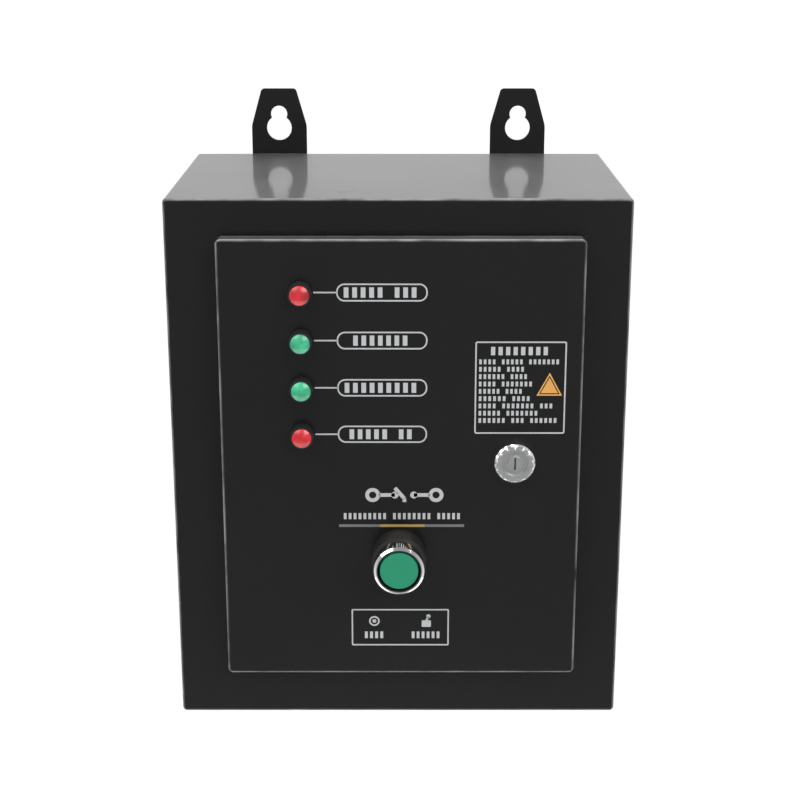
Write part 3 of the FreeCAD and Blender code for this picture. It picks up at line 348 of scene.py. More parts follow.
def circuit_board(paint, colour):
    """Solder mask over copper tracks, with tinned pads showing through."""
    upright = {"Vector": paint.place, "Rotation": (math.pi / 2, 0.0, 0.0)}
    place = paint.add("ShaderNodeMapping", {}, upright)
    values = {"Vector": place, "Scale": 260.0, "Mortar Size": 0.02, "Mortar Smooth": 0.3}
    tracks = paint.add("ShaderNodeTexBrick", {"offset": 0.37, "squash": 1.6}, values, "Fac")
    pads = 1 - paint.cells(240.0).between(0.13, 0.16)
    mask = paint.blend(tracks * 0.7, colour, tinted(colour, 2.1))
    shade = paint.blend(pads, mask, (0.62, 0.6, 0.55))
    return paint.finish(shade, 0.3 + pads * 0.12, tracks, 0.00004, Metallic=pads * 0.8)


def ink(paint, colour):
    """Screen-printed ink: slightly thin in places, with a matt grain."""
    thin = paint.noise(1500.0, 3.0).between(0.5, 0.85)
    grain = paint.noise(5200.0, 1.0)
    shade = paint.blend(thin * 0.35, colour, tinted(colour, 0.55))
    return paint.finish(shade, 0.5 + grain * 0.15, grain, 0.000006)


def paper(paint, colour):
    """Uncoated label paper with fibres, a slight yellowing and a few handling marks."""
    fibres = paint.noise(2100.0, 3.0, (1.0, 1.0, 0.3))
    aged = paint.noise(22.0, 4.0)
    marks = paint.noise(75.0, 5.0).between(0.62, 0.8)
    shade = paint.blend(aged * 0.5, colour, (colour[0], colour[1] * 0.96, colour[2] * 0.84))
    shade = paint.blend(marks * 0.25, shade, tinted(colour, 0.5))
    return paint.finish(shade, 0.62 + fibres * 0.2, fibres, 0.00001)


# -------- surfaces


def edges_of(node):
    """The low and high corners of a CAD node's box, as arrays in metres."""
    low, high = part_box(node)
    return np.array(low), np.array(high)


def box_middle(node):
    """The centre of a CAD node's box, in metres."""
    return sum(edges_of(node)) / 2


def widest_front(node):
    """The Y of a CAD node's largest face that looks forward."""
    fronts = [face for face in frame["nodes"][node].data.polygons if face.normal.y < -0.99]
    return max(fronts, key=lambda face: face.area).center.y


def stadium(x0, x1, z0, z1, radius, steps=48):
    """A rounded rectangle as points on its edge: a quarter circle swung round each corner in turn."""
    turn = np.arange(steps) * FULL_TURN / steps
    reach_x = (x1 - x0) / 2 - radius
    reach_z = (z1 - z0) / 2 - radius
    quarter = np.floor(turn / (math.pi / 2)).astype(int) % 4
    side_x = np.array([1, -1, -1, 1])[quarter]
    side_z = np.array([1, 1, -1, -1])[quarter]
    x = (x0 + x1) / 2 + side_x * reach_x + radius * np.cos(turn)
    z = (z0 + z1) / 2 + side_z * reach_z + radius * np.sin(turn)
    return np.stack([x, z], axis=1)


def circle(x, z, radius, steps=40):
    """Points evenly round a circle."""
    turn = np.arange(steps) * FULL_TURN / steps
    return np.stack([x + radius * np.cos(turn), z + radius * np.sin(turn)], axis=1)


def bar(x0, z0, x1, z1, width):
    """A straight stroke between two points, as its four corners."""
    start, end = np.array([x0, z0]), np.array([x1, z1])
    along = (end - start) / np.linalg.norm(end - start)
    across = np.array([-along[1], along[0]]) * width / 2
    return np.array([start - across, end - across, end + across, start + across])


def joined(parts):
    """Several meshes of points and faces as one."""
    verts, faces, base = [], [], 0
    for points, loops in parts:
        verts.append(points)
        faces += [[base + corner for corner in loop] for loop in loops]
        base += len(points)
    return np.concatenate(verts), faces


def walls(levels, count, wrap=False):
    """Quads between rings of points, each ring to the next and, if they wrap, the last to the first."""
    step = np.arange(count)
    onward = (step + 1) % count
    faces = []
    for level in range(levels if wrap else levels - 1):
        here = level * count
        there = (level + 1) % levels * count
        faces += np.stack([here + step, here + onward, there + onward, there + step], axis=1).tolist()
    return faces


def solid_shapes(outlines, front, back):
    """Filled shapes: each outline is carried straight from its back depth to its front depth, and capped."""
    parts = []
    for outline in outlines:
        count = len(outline)
        x, z = np.tile(outline, (2, 1)).T
        caps = [np.arange(count)[::-1].tolist(), np.arange(count, 2 * count).tolist()]
        points = np.stack([x, np.repeat([back, front], count), z], axis=1)
        parts.append((points, caps + walls(2, count)))
    return joined(parts)


def line_prints(pairs, face_y, raised):
    """Outlined prints: a square section carried round between an outer and an inner edge."""
    parts = []
    for outer, inner in pairs:
        count = len(outer)
        x, z = np.concatenate([outer, inner, inner, outer]).T
        depth = np.repeat([-raised, -raised, raised, raised], count)
        points = np.stack([x, face_y + depth, z], axis=1)
        parts.append((points, walls(4, count, wrap=True)))
    return joined(parts)


def lathe(profile, steps=28):
    """A profile of radius and height turned about its axis, closed at both poles."""
    turn = np.arange(steps) * FULL_TURN / steps
    radius = profile[1:-1, 0][:, None]
    height = np.repeat(profile[1:-1, 1][:, None], steps, axis=1)
    rings = np.stack([radius * np.cos(turn), radius * np.sin(turn), height], axis=2).reshape(-1, 3)
    poles = np.array([[0, 0, profile[0, 1]], [0, 0, profile[-1, 1]]])
    count = len(profile) - 2
    step = np.arange(steps)
    onward = (step + 1) % steps
    faces = walls(count, steps)
    south = np.full(steps, count * steps)
    top = (count - 1) * steps
    faces += np.stack([south, onward, step], axis=1).tolist()
    faces += np.stack([south + 1, top + step, top + onward], axis=1).tolist()
    return np.concatenate([rings, poles]), faces


def rectangle(x0, x1, z0, z1):
    """The four corners of a rectangle."""
    return np.array([[x0, z0], [x1, z0], [x1, z1], [x0, z1]])


def ringed(x0, x1, z0, z1, corner, line):
    """The outer and inner edges of an outlined, rounded rectangle."""
    inner = stadium(x0 + line, x1 - line, z0 + line, z1 - line, corner - line)
    return stadium(x0, x1, z0, z1, corner), inner


def make_piece(name, mesh_data, material, body="enclosure", smooth=False, bevel=0.0):
    """Puts points and faces into an object that rides on a body."""
    points, faces = mesh_data
    mesh = bpy.data.meshes.new(name)
    mesh.from_pydata(points.tolist(), [], faces)
    mesh.polygons.foreach_set("use_smooth", [smooth] * len(mesh.polygons))
    mesh.update()
    piece = bpy.data.objects.new(name, mesh)
    bpy.context.scene.collection.objects.link(piece)
    piece.data.materials.append(material)
    if bevel:
        softened = piece.modifiers.new("softened", "BEVEL")
        softened.width = bevel
        softened.segments = 2
        softened.limit_method = "ANGLE"
    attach(piece, body)
    return piece


def word_blocks(x0, x1, z, height, pitch, gaps=()):
    """Plain upright blocks in a row that stand for a line of print, with a few left out as spaces."""
    count = max(1, round((x1 - x0) / pitch))
    left = x0 + (x1 - x0) * np.arange(count) / count
    keep = ~np.isin(np.arange(count), gaps)
    wide = (x1 - x0) / count * 0.56
    return [rectangle(x, x + wide, z - height / 2, z + height / 2) for x in left[keep]]


# -------- settings


def colour_prop(name, description, default):
    look = {"size": 3, "min": 0.0, "max": 1.0, "subtype": "COLOR"}
    return bpy.props.FloatVectorProperty(name=name, description=description, default=default, **look)


def number_prop(name, description, default, **look):
    return bpy.props.FloatProperty(name=name, description=description, default=default, **look)


def length_prop(*words):
    return number_prop(*words, unit="LENGTH")


class ChangeoverFinish(bpy.types.PropertyGroup):
    """Colours and gloss of the CAD pieces."""

    coat: colour_prop("Powder coat", "Colour of the painted steel", (0.0052, 0.0052, 0.0055))
    coat_gloss: number_prop(
        "Coat roughness", "Roughness of the painted steel", 0.34, min=0.0, max=1.0, subtype="FACTOR"
    )
    lamp_red: colour_prop("Red lens", "Colour of the red lamps", (0.56, 0.02, 0.028))
    lamp_green: colour_prop("Green lens", "Colour of the green lamps", (0.045, 0.42, 0.22))
    cap_green: colour_prop("Cap", "Colour of the pushbutton cap", (0.012, 0.24, 0.125))
    chrome: colour_prop("Chrome", "Colour of the bright metal", (0.86, 0.86, 0.87))


class ChangeoverPrint(bpy.types.PropertyGroup):
    """Sizes and colours of the printing on the door."""

    white: colour_prop("White ink", "Colour of the main printing", (0.5, 0.51, 0.52))
    grey: colour_prop("Grey ink", "Colour of the stripe's ends", (0.16, 0.16, 0.16))
    gold: colour_prop("Gold ink", "Colour of the stripe's middle", (0.42, 0.29, 0.11))
    amber: colour_prop("Amber ink", "Colour of the triangle", (0.72, 0.36, 0.09))
    raised: length_prop("Ink thickness", "How far the ink stands in front of the door", 0.00008)
    line: length_prop("Line width", "Width of the printed lines", 0.0008)
    capsule_width: length_prop("Capsule width", "Width of a status label's outline", 0.0485)
    capsule_height: length_prop("Capsule height", "Height of a status label's outline", 0.0098)
    panel_width: length_prop("Panel width", "Width of the note panel", 0.049)
    panel_height: length_prop("Panel height", "Height of the note panel", 0.0518)


class ChangeoverStage(bpy.types.PropertyGroup):
    """The studio."""

    floor: colour_prop("Floor", "Colour of the floor", (0.93, 0.93, 0.93))
    floor_drop: length_prop("Floor drop", "How far the floor lies below the box", 0.55)
    floor_reach: length_prop("Floor reach", "How far the floor runs on each side of the box", 0.9)
    camera_distance: length_prop("Camera distance", "From the wall plane to the camera", 1.028)
    camera_height: length_prop("Camera height", "Height of the camera over the keyhole middle", 0.302)
    camera_pitch: number_prop(
        "Camera pitch", "How far the camera looks down", math.radians(16.9), subtype="ANGLE"
    )
    camera_lens: number_prop("Lens", "Focal length in millimetres", 74.4)


# -------- operators


STEPS = []


def listed(step):
    """Adds an operator to the steps, which run in this order."""
    STEPS.append(step)
    return step


def paint_node(node, material):
    """Gives one CAD node a material."""
    for place in frame["nodes"][node].material_slots:
        place.material = material


def paint_slots(recipes):
    """Gives the CAD nodes of each slot one shared material, from the slot's finish and its settings."""
    for slot, (finish, *settings) in recipes.items():
        nodes = [node for node, own in SLOT_OF.items() if own == slot]
        if not nodes:
            raise RuntimeError(f"no CAD node uses the slot {slot}")
        material = finish(Paint(slot), *settings)
        for node in nodes:
            paint_node(node, material)


@listed
class CHANGEOVER_OT_steelwork(Operator):
    """Paints the box, the door and the metal parts."""

    bl_idname = "changeover.steelwork"
    bl_label = "Finish the steelwork"

    def execute(self, context):
        finish = context.scene.changeover_finish
        coat = tuple(finish.coat)
        paint_slots({
            "black_powder_coat": (powder_coat, coat, finish.coat_gloss),
            "zinc_plated_steel": (plated_steel, (0.62, 0.63, 0.64)),
            "galvanised_sheet": (spangled_sheet, (0.58, 0.6, 0.61)),
            "brass": (brass, (0.78, 0.58, 0.25)),
            "black_foam": (foam, (0.02, 0.02, 0.02)),
            "black_rubber": (rubber, (0.025, 0.025, 0.025)),
        })
        # The box and the door also get a painted highlight along their edges and a roof film of dust and
        # painted sheen.
        for node in ("enclosure_shell", "door_pan"):
            low, high = edges_of(node)
            low[1] = widest_front(node)
            paint_node(node, powder_coat(Paint(node + "_coat"), coat, finish.coat_gloss, (low, high)))
        return {"FINISHED"}


@listed
class CHANGEOVER_OT_door_fittings(Operator):
    """Finishes the lamps, the pushbutton and the lock."""

    bl_idname = "changeover.door_fittings"
    bl_label = "Finish the door fittings"

    def execute(self, context):
        finish = context.scene.changeover_finish
        metal = tuple(finish.chrome)
        glow = 0.25
        shaded_throat = 12.1 * MM
        facets = 14
        paint_slots({
            "chrome": (chrome, metal),
            "lamp_red": (lens, tuple(finish.lamp_red), glow),
            "lamp_green": (lens, tuple(finish.lamp_green), glow),
            # The cap's finish carries a faint painted glow.
            "cap_green": (pressed_cap, tuple(finish.cap_green)),
        })
        # The bezel's throat is painted matt black as shade.
        middle = box_middle("button_bezel")
        paint_node("button_bezel", bezel_chrome(Paint("bezel_chrome"), metal, middle, shaded_throat))
        middle = box_middle("lock_plug")
        paint_node("lock_plug", turned_face(Paint("lock_nickel"), (0.6, 0.61, 0.61), middle))
        paint_node("lock_body", faceted_chrome(Paint("lock_chrome"), metal, middle, facets))
        return {"FINISHED"}


@listed
class CHANGEOVER_OT_devices(Operator):
    """Finishes the mouldings, the board and the conductors inside."""

    bl_idname = "changeover.devices"
    bl_label = "Finish the devices"

    def execute(self, context):
        paint_slots({
            "black_plastic": (moulded, (0.018, 0.018, 0.019), 0.32),
            "grey_plastic": (moulded, (0.3, 0.31, 0.31), 0.46),
            "light_plastic": (moulded, (0.62, 0.62, 0.58), 0.46),
            "white_plastic": (moulded, (0.72, 0.71, 0.67), 0.44),
            "blue_plastic": (moulded, (0.03, 0.12, 0.38), 0.3),
            "yellow_plastic": (moulded, (0.72, 0.46, 0.04), 0.34),
            "green_board": (circuit_board, (0.012, 0.11, 0.045)),
            "clear_cover": (clear_sheet, (0.9, 0.94, 0.96)),
            "black_insulation": (insulation, (0.02, 0.02, 0.021)),
        })
        return {"FINISHED"}


def door_print(style, name, colour, solids, rings=()):
    """Prints filled and outlined shapes on the door's front, in one ink."""
    raised = style.raised
    face = edges_of("door_pan")[0][1]
    parts = [solid_shapes(solids, face - raised, face + raised)]
    if rings:
        parts.append(line_prints(rings, face, raised))
    make_piece(name, joined(parts), ink(Paint(name + "_ink"), tuple(colour)), "door")


@listed
class CHANGEOVER_OT_status_labels(Operator):
    """Prints a leader line and an outlined label beside each lamp."""

    bl_idname = "changeover.status_labels"
    bl_label = "Print the status labels"

    def execute(self, context):
        style = context.scene.changeover_print
        gap = 7.0 * MM
        leader = 12.2 * MM
        letter, pitch = 5.6 * MM, 4.6 * MM
        half = style.capsule_height / 2
        solids, rings = [], []
        for index, node in enumerate(LENSES):
            x, _, z = box_middle(node)
            left = x + gap + leader
            right = left + style.capsule_width
            rings.append(ringed(left, right, z - half, z + half, half * 0.92, style.line))
            solids.append(bar(x + gap, z, left + style.line / 2, z, style.line))
            inset = (4.0 + 2.4 * (index % 3)) * MM
            spaces = (5,) if index % 2 else ()
            solids += word_blocks(left + inset, right - inset, z, letter, pitch, spaces)
        door_print(style, "status_labels", style.white, solids, rings)
        return {"FINISHED"}


@listed
class CHANGEOVER_OT_note_panel(Operator):
    """Prints the outlined note panel with plain block lines and an amber triangle."""

    bl_idname = "changeover.note_panel"
    bl_label = "Print the note panel"

    def execute(self, context):
        style = context.scene.changeover_print
        left, top = 41.3 * MM, 75.2 * MM
        right, foot = left + style.panel_width, top - style.panel_height
        corner = 1.2 * MM
        title_inset, title_drop = 8.4 * MM, 5.3 * MM
        title_left, title_right = left + title_inset, right - title_inset
        solids = word_blocks(title_left, title_right, top - title_drop, 4.6 * MM, 4.2 * MM)
        lines = 9
        pitch = 4.12 * MM
        first = top - 11.3 * MM
        start = left + 2.2 * MM
        sign_x = left + 40.2 * MM
        sign_half = 6.9 * MM
        sign_foot, sign_top = top - 30.2 * MM, top - 17.4 * MM
        for line in range(lines):
            z = first - line * pitch
            beside = sign_foot - pitch < z < sign_top + pitch
            full = sign_x - sign_half - start - 1.0 * MM if beside else right - start - 3.0 * MM
            ragged = full * (0.9 + 0.1 * math.cos(2.3 * line))
            spaces = (4 + line % 3, 10 + line % 4)
            solids += word_blocks(start, start + ragged, z, 2.7 * MM, 2.5 * MM, spaces)
        rings = [ringed(left, right, foot, top, corner, style.line)]
        door_print(style, "note_panel", style.white, solids, rings)
        corners = [sign_x - sign_half, sign_foot], [sign_x + sign_half, sign_foot], [sign_x, sign_top]
        sign = np.array(corners)
        middle = sign.mean(axis=0)
        inner, core = (middle + (sign - middle) * share for share in (0.82, 0.68))
        door_print(style, "note_triangle", style.amber, [core], [(sign, inner)])
        return {"FINISHED"}


@listed
class CHANGEOVER_OT_heading(Operator):
    """Prints the changeover symbol, the block line below it and the stripe."""

    bl_idname = "changeover.heading"
    bl_label = "Print the heading"

    def execute(self, context):
        style = context.scene.changeover_print
        middle, level = 3.4 * MM, -12.0 * MM
        reach = 21.5 * MM
        ring = 4.1 * MM
        stroke = 2.1 * MM
        gap = 5.2 * MM
        solids, rings = [], []
        for way in (-1, 1):
            x = middle + way * (reach - ring)
            rings.append((circle(x, level, ring), circle(x, level, ring - stroke)))
            near = middle + way * (reach - 2 * ring + stroke / 4)
            far = middle + way * gap
            solids.append(bar(min(near, far), level, max(near, far), level, stroke))
            solids.append(circle(far, level, stroke * 0.95))
        solids.append(bar(middle, level - ring, middle, level - ring / 2, stroke))
        solids.append(bar(middle, level - ring / 2, middle - gap, level + ring, stroke))
        line_left, line_right, line_z = -30.0 * MM, 35.2 * MM, -24.4 * MM
        solids += word_blocks(line_left, line_right, line_z, 3.6 * MM, 2.75 * MM, (9, 18))
        door_print(style, "heading_print", style.white, solids, rings)
        stripe_z, stripe = -30.0 * MM, 1.5 * MM
        gold_left, gold_right = -10.0 * MM, 14.6 * MM
        left_end = bar(line_left - 2.6 * MM, stripe_z, gold_left, stripe_z, stripe)
        right_end = bar(gold_right, stripe_z, line_right + 1.2 * MM, stripe_z, stripe)
        door_print(style, "stripe_ends", style.grey, [left_end, right_end])
        gold = bar(gold_left, stripe_z, gold_right, stripe_z, stripe)
        door_print(style, "stripe_middle", style.gold, [gold])
        return {"FINISHED"}


@listed
class CHANGEOVER_OT_selector(Operator):
    """Prints the framed pair of symbols under the pushbutton."""

    bl_idname = "changeover.selector"
    bl_label = "Print the selector frame"

    def execute(self, context):
        style = context.scene.changeover_print
        left, right = -26.2 * MM, 28.5 * MM
        foot, top = -102.4 * MM, -80.1 * MM
        corner = 0.9 * MM
        auto_x, hand_x, level = -13.4 * MM, 15.8 * MM, -87.4 * MM
        dot = 1.1 * MM
        palm, knuckles = 2.6 * MM, level + 0.4 * MM
        tip = hand_x + 1.2 * MM
        rings = [
            ringed(left, right, foot, top, corner, style.line),
            (circle(auto_x, level, 3.0 * MM), circle(auto_x, level, 2.1 * MM)),
        ]
        solids = [
            circle(auto_x, level, dot),
            stadium(hand_x - palm, hand_x + palm, level - 3.6 * MM, knuckles, 0.6 * MM),
            bar(hand_x, knuckles, tip, level + 2.6 * MM, dot),
            circle(tip, level + 2.9 * MM, 1.2 * MM),
        ]
        words_z, letter = -95.9 * MM, 4.1 * MM
        solids += word_blocks(-18.8 * MM, -7.2 * MM, words_z, letter, 2.9 * MM)
        solids += word_blocks(7.6 * MM, 24.5 * MM, words_z, letter, 2.8 * MM)
        door_print(style, "selector_print", style.white, solids, rings)
        return {"FINISHED"}


@listed
class CHANGEOVER_OT_board_parts(Operator):
    """Stands capacitors and resistors on the control board."""

    bl_idname = "changeover.board_parts"
    bl_label = "Make the board parts"

    def execute(self, context):
        low, high = edges_of("control_board")
        face = low[1]
        tall, wide, rim = 11.0 * MM, 4.0 * MM, 0.5 * MM
        neck = wide * 0.93
        foot = [[0, 0], [wide - rim, 0], [wide, rim], [wide, tall * 0.18], [neck, tall * 0.22]]
        head = [[neck, tall * 0.26], [wide, tall * 0.3], [wide, tall - rim], [wide - rim, tall], [0, tall]]
        points, faces = lathe(np.array(foot + head))
        stood = np.stack([points[:, 0], -points[:, 2], points[:, 1]], axis=1)
        cans = [(stood + [high[0] - 8 * MM, face, low[2] + (11 + 11 * i) * MM], faces) for i in range(3)]
        sleeve = moulded(Paint("capacitor_sleeve"), (0.012, 0.02, 0.06), 0.22)
        make_piece("board_capacitors", joined(cans), sleeve, smooth=True)
        body, length = 1.3 * MM, 6.2 * MM
        shares = [(0, 0), (0.9, 0.04), (1.15, 0.12), (1, 0.26), (1, 0.74), (1.15, 0.88), (0.9, 0.96), (0, 1)]
        points, faces = lathe(np.array(shares) * [body, length], 16)
        laid = np.stack([points[:, 2], -points[:, 0], points[:, 1]], axis=1)
        row = [low[0] + 12 * MM, face - body * 1.2, low[2] + 26 * MM]
        beads = [(laid + row + [9 * i * MM, 0, 0], faces) for i in range(5)]
        lacquer = moulded(Paint("resistor_lacquer"), (0.45, 0.33, 0.18), 0.3)
        make_piece("board_resistors", joined(beads), lacquer, smooth=True)
        return {"FINISHED"}


@listed
class CHANGEOVER_OT_board_chips(Operator):
    """Sets a chip with its pins and a plug connector with its screws on the control board."""

    bl_idname = "changeover.board_chips"
    bl_label = "Make the board chips"

    def execute(self, context):
        low, high = edges_of("control_board")
        face = low[1]
        left, foot = low[0] + 5.0 * MM, low[2] + 10.0 * MM
        width, height, depth = 6.4 * MM, 17.0 * MM, 3.4 * MM
        lift = 0.6 * MM
        front = face - lift - depth
        body = rectangle(left, left + width, foot, foot + height)
        notch = circle(left + width / 2, foot + height - 1.4 * MM, 0.7 * MM, 16)
        shapes = [solid_shapes([body], front, face - lift), solid_shapes([notch], front - 0.1 * MM, front)]
        case = moulded(Paint("chip_epoxy"), (0.02, 0.02, 0.022), 0.5)
        make_piece("board_chip", joined(shapes), case, bevel=0.2 * MM)
        pin_half, pin_pitch, reach = 0.4 * MM, 2.3 * MM, 1.1 * MM
        pins = []
        for edge, way in ((left, -1), (left + width, 1)):
            x0, x1 = sorted((edge - way * reach / 2, edge + way * reach))
            for i in range(7):
                z = foot + 1.6 * MM + i * pin_pitch
                pins.append(rectangle(x0, x1, z - pin_half, z + pin_half))
        legs = solid_shapes(pins, face - lift - depth * 0.5, face + lift / 2)
        tin = plated_steel(Paint("tinned_pins"), (0.75, 0.75, 0.74))
        make_piece("board_chip_pins", legs, tin)
        plug_left, plug_top = high[0] - 31.0 * MM, high[2] - 1.2 * MM
        pitch, tall, deep = 5.0 * MM, 3.6 * MM, 9.0 * MM
        starts = plug_left + pitch * np.arange(5)
        blocks = [rectangle(x, x + pitch * 0.96, plug_top - tall, plug_top) for x in starts]
        mouths = [circle(x + pitch * 0.48, plug_top - tall / 2, 1.2 * MM, 20) for x in starts]
        green = moulded(Paint("plug_green"), (0.02, 0.3, 0.1), 0.4)
        shell = solid_shapes(blocks, face - deep, face)
        make_piece("board_plug", shell, green, bevel=0.3 * MM)
        heads = solid_shapes(mouths, face - deep - 0.3 * MM, face - deep + 0.2 * MM)
        steel = plated_steel(Paint("plug_screws"), (0.7, 0.7, 0.7))
        make_piece("board_plug_screws", heads, steel)
        return {"FINISHED"}


@listed
class CHANGEOVER_OT_contactor_fronts(Operator):
    """Puts a printed rating plate and vents on the front of each contactor."""

    bl_idname = "changeover.contactor_fronts"
    bl_label = "Make the contactor fronts"

    def execute(self, context):
        plates, bands, lines, vents = [], [], [], []
        half = 12.6 * MM
        step = 8.0 * MM
        thin = 0.25 * MM
        for node in ("mains_contactor_cover", "generator_contactor_cover"):
            x, _, z = box_middle(node)
            face = edges_of(node)[0][1]
            foot = z - 18.4 * MM
            plate = rectangle(x - half, x + half, foot, foot + 8.6 * MM)
            plates.append(solid_shapes([plate], face - thin, face))
            band = rectangle(x - half, x + half, foot, foot + 1.7 * MM)
            bands.append(solid_shapes([band], face - thin * 1.5, face))
            rows, grooves = [], []
            for i in range(3):
                level = foot + (3.2 + 1.9 * i) * MM
                right = x + (3.0 + 3.5 * (i % 2)) * MM
                rows += word_blocks(x - 11.0 * MM, right, level, 0.9 * MM, 1.3 * MM, (3 + i, 7))
                level = z + (11.2 + 2.6 * i) * MM
                grooves.append(stadium(x - 10.0 * MM, x + 10.0 * MM, level, level + 1.3 * MM, 0.6 * MM, 24))
            lines.append(solid_shapes(rows, face - thin * 1.6, face))
            vents.append(solid_shapes(grooves, face - thin * 0.4, face + thin))
            for side in (x - 18.3 * MM, x + 18.3 * MM):
                left, right = side - 1.9 * MM, side + 1.9 * MM
                feet = z + np.arange(-20.0, 20.0, 2.6) * MM
                ribs = [rectangle(left, right, rib, rib + 1.1 * MM) for rib in feet]
                vents.append(solid_shapes(ribs, face + step - thin * 2, face + step + thin))
        for name, parts, material, slot in (
            ("plates", plates, paper(Paint("plate_white"), (0.78, 0.78, 0.76)), "white_plastic"),
            ("bands", bands, ink(Paint("band_blue"), (0.04, 0.14, 0.34)), "blue_plastic"),
            ("lines", lines, ink(Paint("plate_ink"), (0.05, 0.05, 0.05)), "black_plastic"),
            ("vents", vents, moulded(Paint("vent_shadow"), (0.07, 0.07, 0.068), 0.7), "grey_plastic"),
        ):
            make_piece("contactor_" + name, joined(parts), material)
        return {"FINISHED"}


@listed
class CHANGEOVER_OT_terminal_tags(Operator):
    """Clips a blank tag under each terminal screw and slips a sleeve over each conductor's end."""

    bl_idname = "changeover.terminal_tags"
    bl_label = "Make the terminal tags"

    def execute(self, context):
        low, high = edges_of("terminal_base")
        screws_low, screws_high = edges_of("terminal_screws")
        head = 4.0 * MM
        poles = 11
        centres = np.linspace(screws_low[0] + head, screws_high[0] - head, poles)
        face = screws_low[1] + 3.0 * MM
        foot = low[2] + 2.0 * MM
        half = 3.6 * MM
        tags = [rectangle(x - half, x + half, foot, foot + 5.0 * MM) for x in centres]
        shell = solid_shapes(tags, face - 0.9 * MM, face)
        white = moulded(Paint("tag_white"), (0.74, 0.74, 0.7), 0.42)
        make_piece("terminal_tags", shell, white, bevel=0.25 * MM)
        wires_low, wires_high = edges_of("power_wires")
        wire = 2.4 * MM
        sleeve, tall = wire + 0.55 * MM, 7.0 * MM
        shares = [(0, 0), (0.94, 0), (1, 0.06), (1, 0.94), (0.94, 1), (0, 1)]
        points, faces = lathe(np.array(shares) * [sleeve, tall], 24)
        far_y, near_y = wires_low[1] + wire, wires_high[1] - wire
        foot = high[2] + 1.0 * MM
        rows = [far_y] * 2 + [near_y] * 4
        sleeves = [(points + [x, y, foot], faces) for x, y in zip(centres[5:], rows)]
        yellow = moulded(Paint("sleeve_yellow"), (0.72, 0.55, 0.06), 0.4)
        make_piece("wire_sleeves", joined(sleeves), yellow)
        return {"FINISHED"}


@listed
class CHANGEOVER_OT_fitting_backs(Operator):
    """Puts clamp screws and grooves on the pushbutton's contact block and solder tabs on the lamps."""

    bl_idname = "changeover.fitting_backs"
    bl_label = "Make the backs of the fittings"

    def execute(self, context):
        low, high = edges_of("button_block")
        x, _, z = box_middle("button_block")
        face = high[1]
        inset = 1.6 * MM
        corners = [(x + i * 7.6 * MM, z + k * 13.0 * MM) for i in (-1, 1) for k in (-1, 1)]
        dark = [circle(cx, cz, 3.3 * MM, 28) for cx, cz in corners]
        dark.append(rectangle(x - 0.35 * MM, x + 0.35 * MM, low[2] + inset, high[2] - inset))
        for seam_z in (z - 4.9 * MM, z + 4.9 * MM):
            dark.append(rectangle(low[0] + inset, high[0] - inset, seam_z - 0.3 * MM, seam_z + 0.3 * MM))
        shade = moulded(Paint("block_shadow"), (0.03, 0.03, 0.03), 0.7)
        seams = solid_shapes(dark, face - 0.1 * MM, face + 0.08 * MM)
        make_piece("contact_block_seams", seams, shade, "door")
        discs = [circle(cx, cz, 2.7 * MM, 28) for cx, cz in corners]
        heads = solid_shapes(discs, face - 0.1 * MM, face + 0.7 * MM)
        steel = plated_steel(Paint("clamp_screws"), (0.66, 0.66, 0.65))
        make_piece("contact_block_screws", heads, steel, "door", bevel=0.2 * MM)
        run, rise, slot = 2.1 * MM, 0.9 * MM, 0.7 * MM
        slots = [bar(cx - run, cz - rise, cx + run, cz + rise, slot) for cx, cz in corners]
        cuts = solid_shapes(slots, face + 0.5 * MM, face + 0.75 * MM)
        make_piece("contact_block_slots", cuts, shade, "door")
        tabs = []
        for node in LENSES:
            lamp_x, _, lamp_z = box_middle(node)
            for edge in (lamp_x - 2.3 * MM, lamp_x + 2.3 * MM):
                tabs.append(rectangle(edge - 0.4 * MM, edge + 0.4 * MM, lamp_z - 1.5 * MM, lamp_z + 1.5 * MM))
        tip = edges_of("lamp_housings")[1][1]
        pairs = solid_shapes(tabs, tip - 0.5 * MM, tip + 5.0 * MM)
        metal = brass(Paint("tab_brass"), (0.74, 0.6, 0.34))
        make_piece("lamp_tabs", pairs, metal, "door", bevel=0.15 * MM)
        return {"FINISHED"}


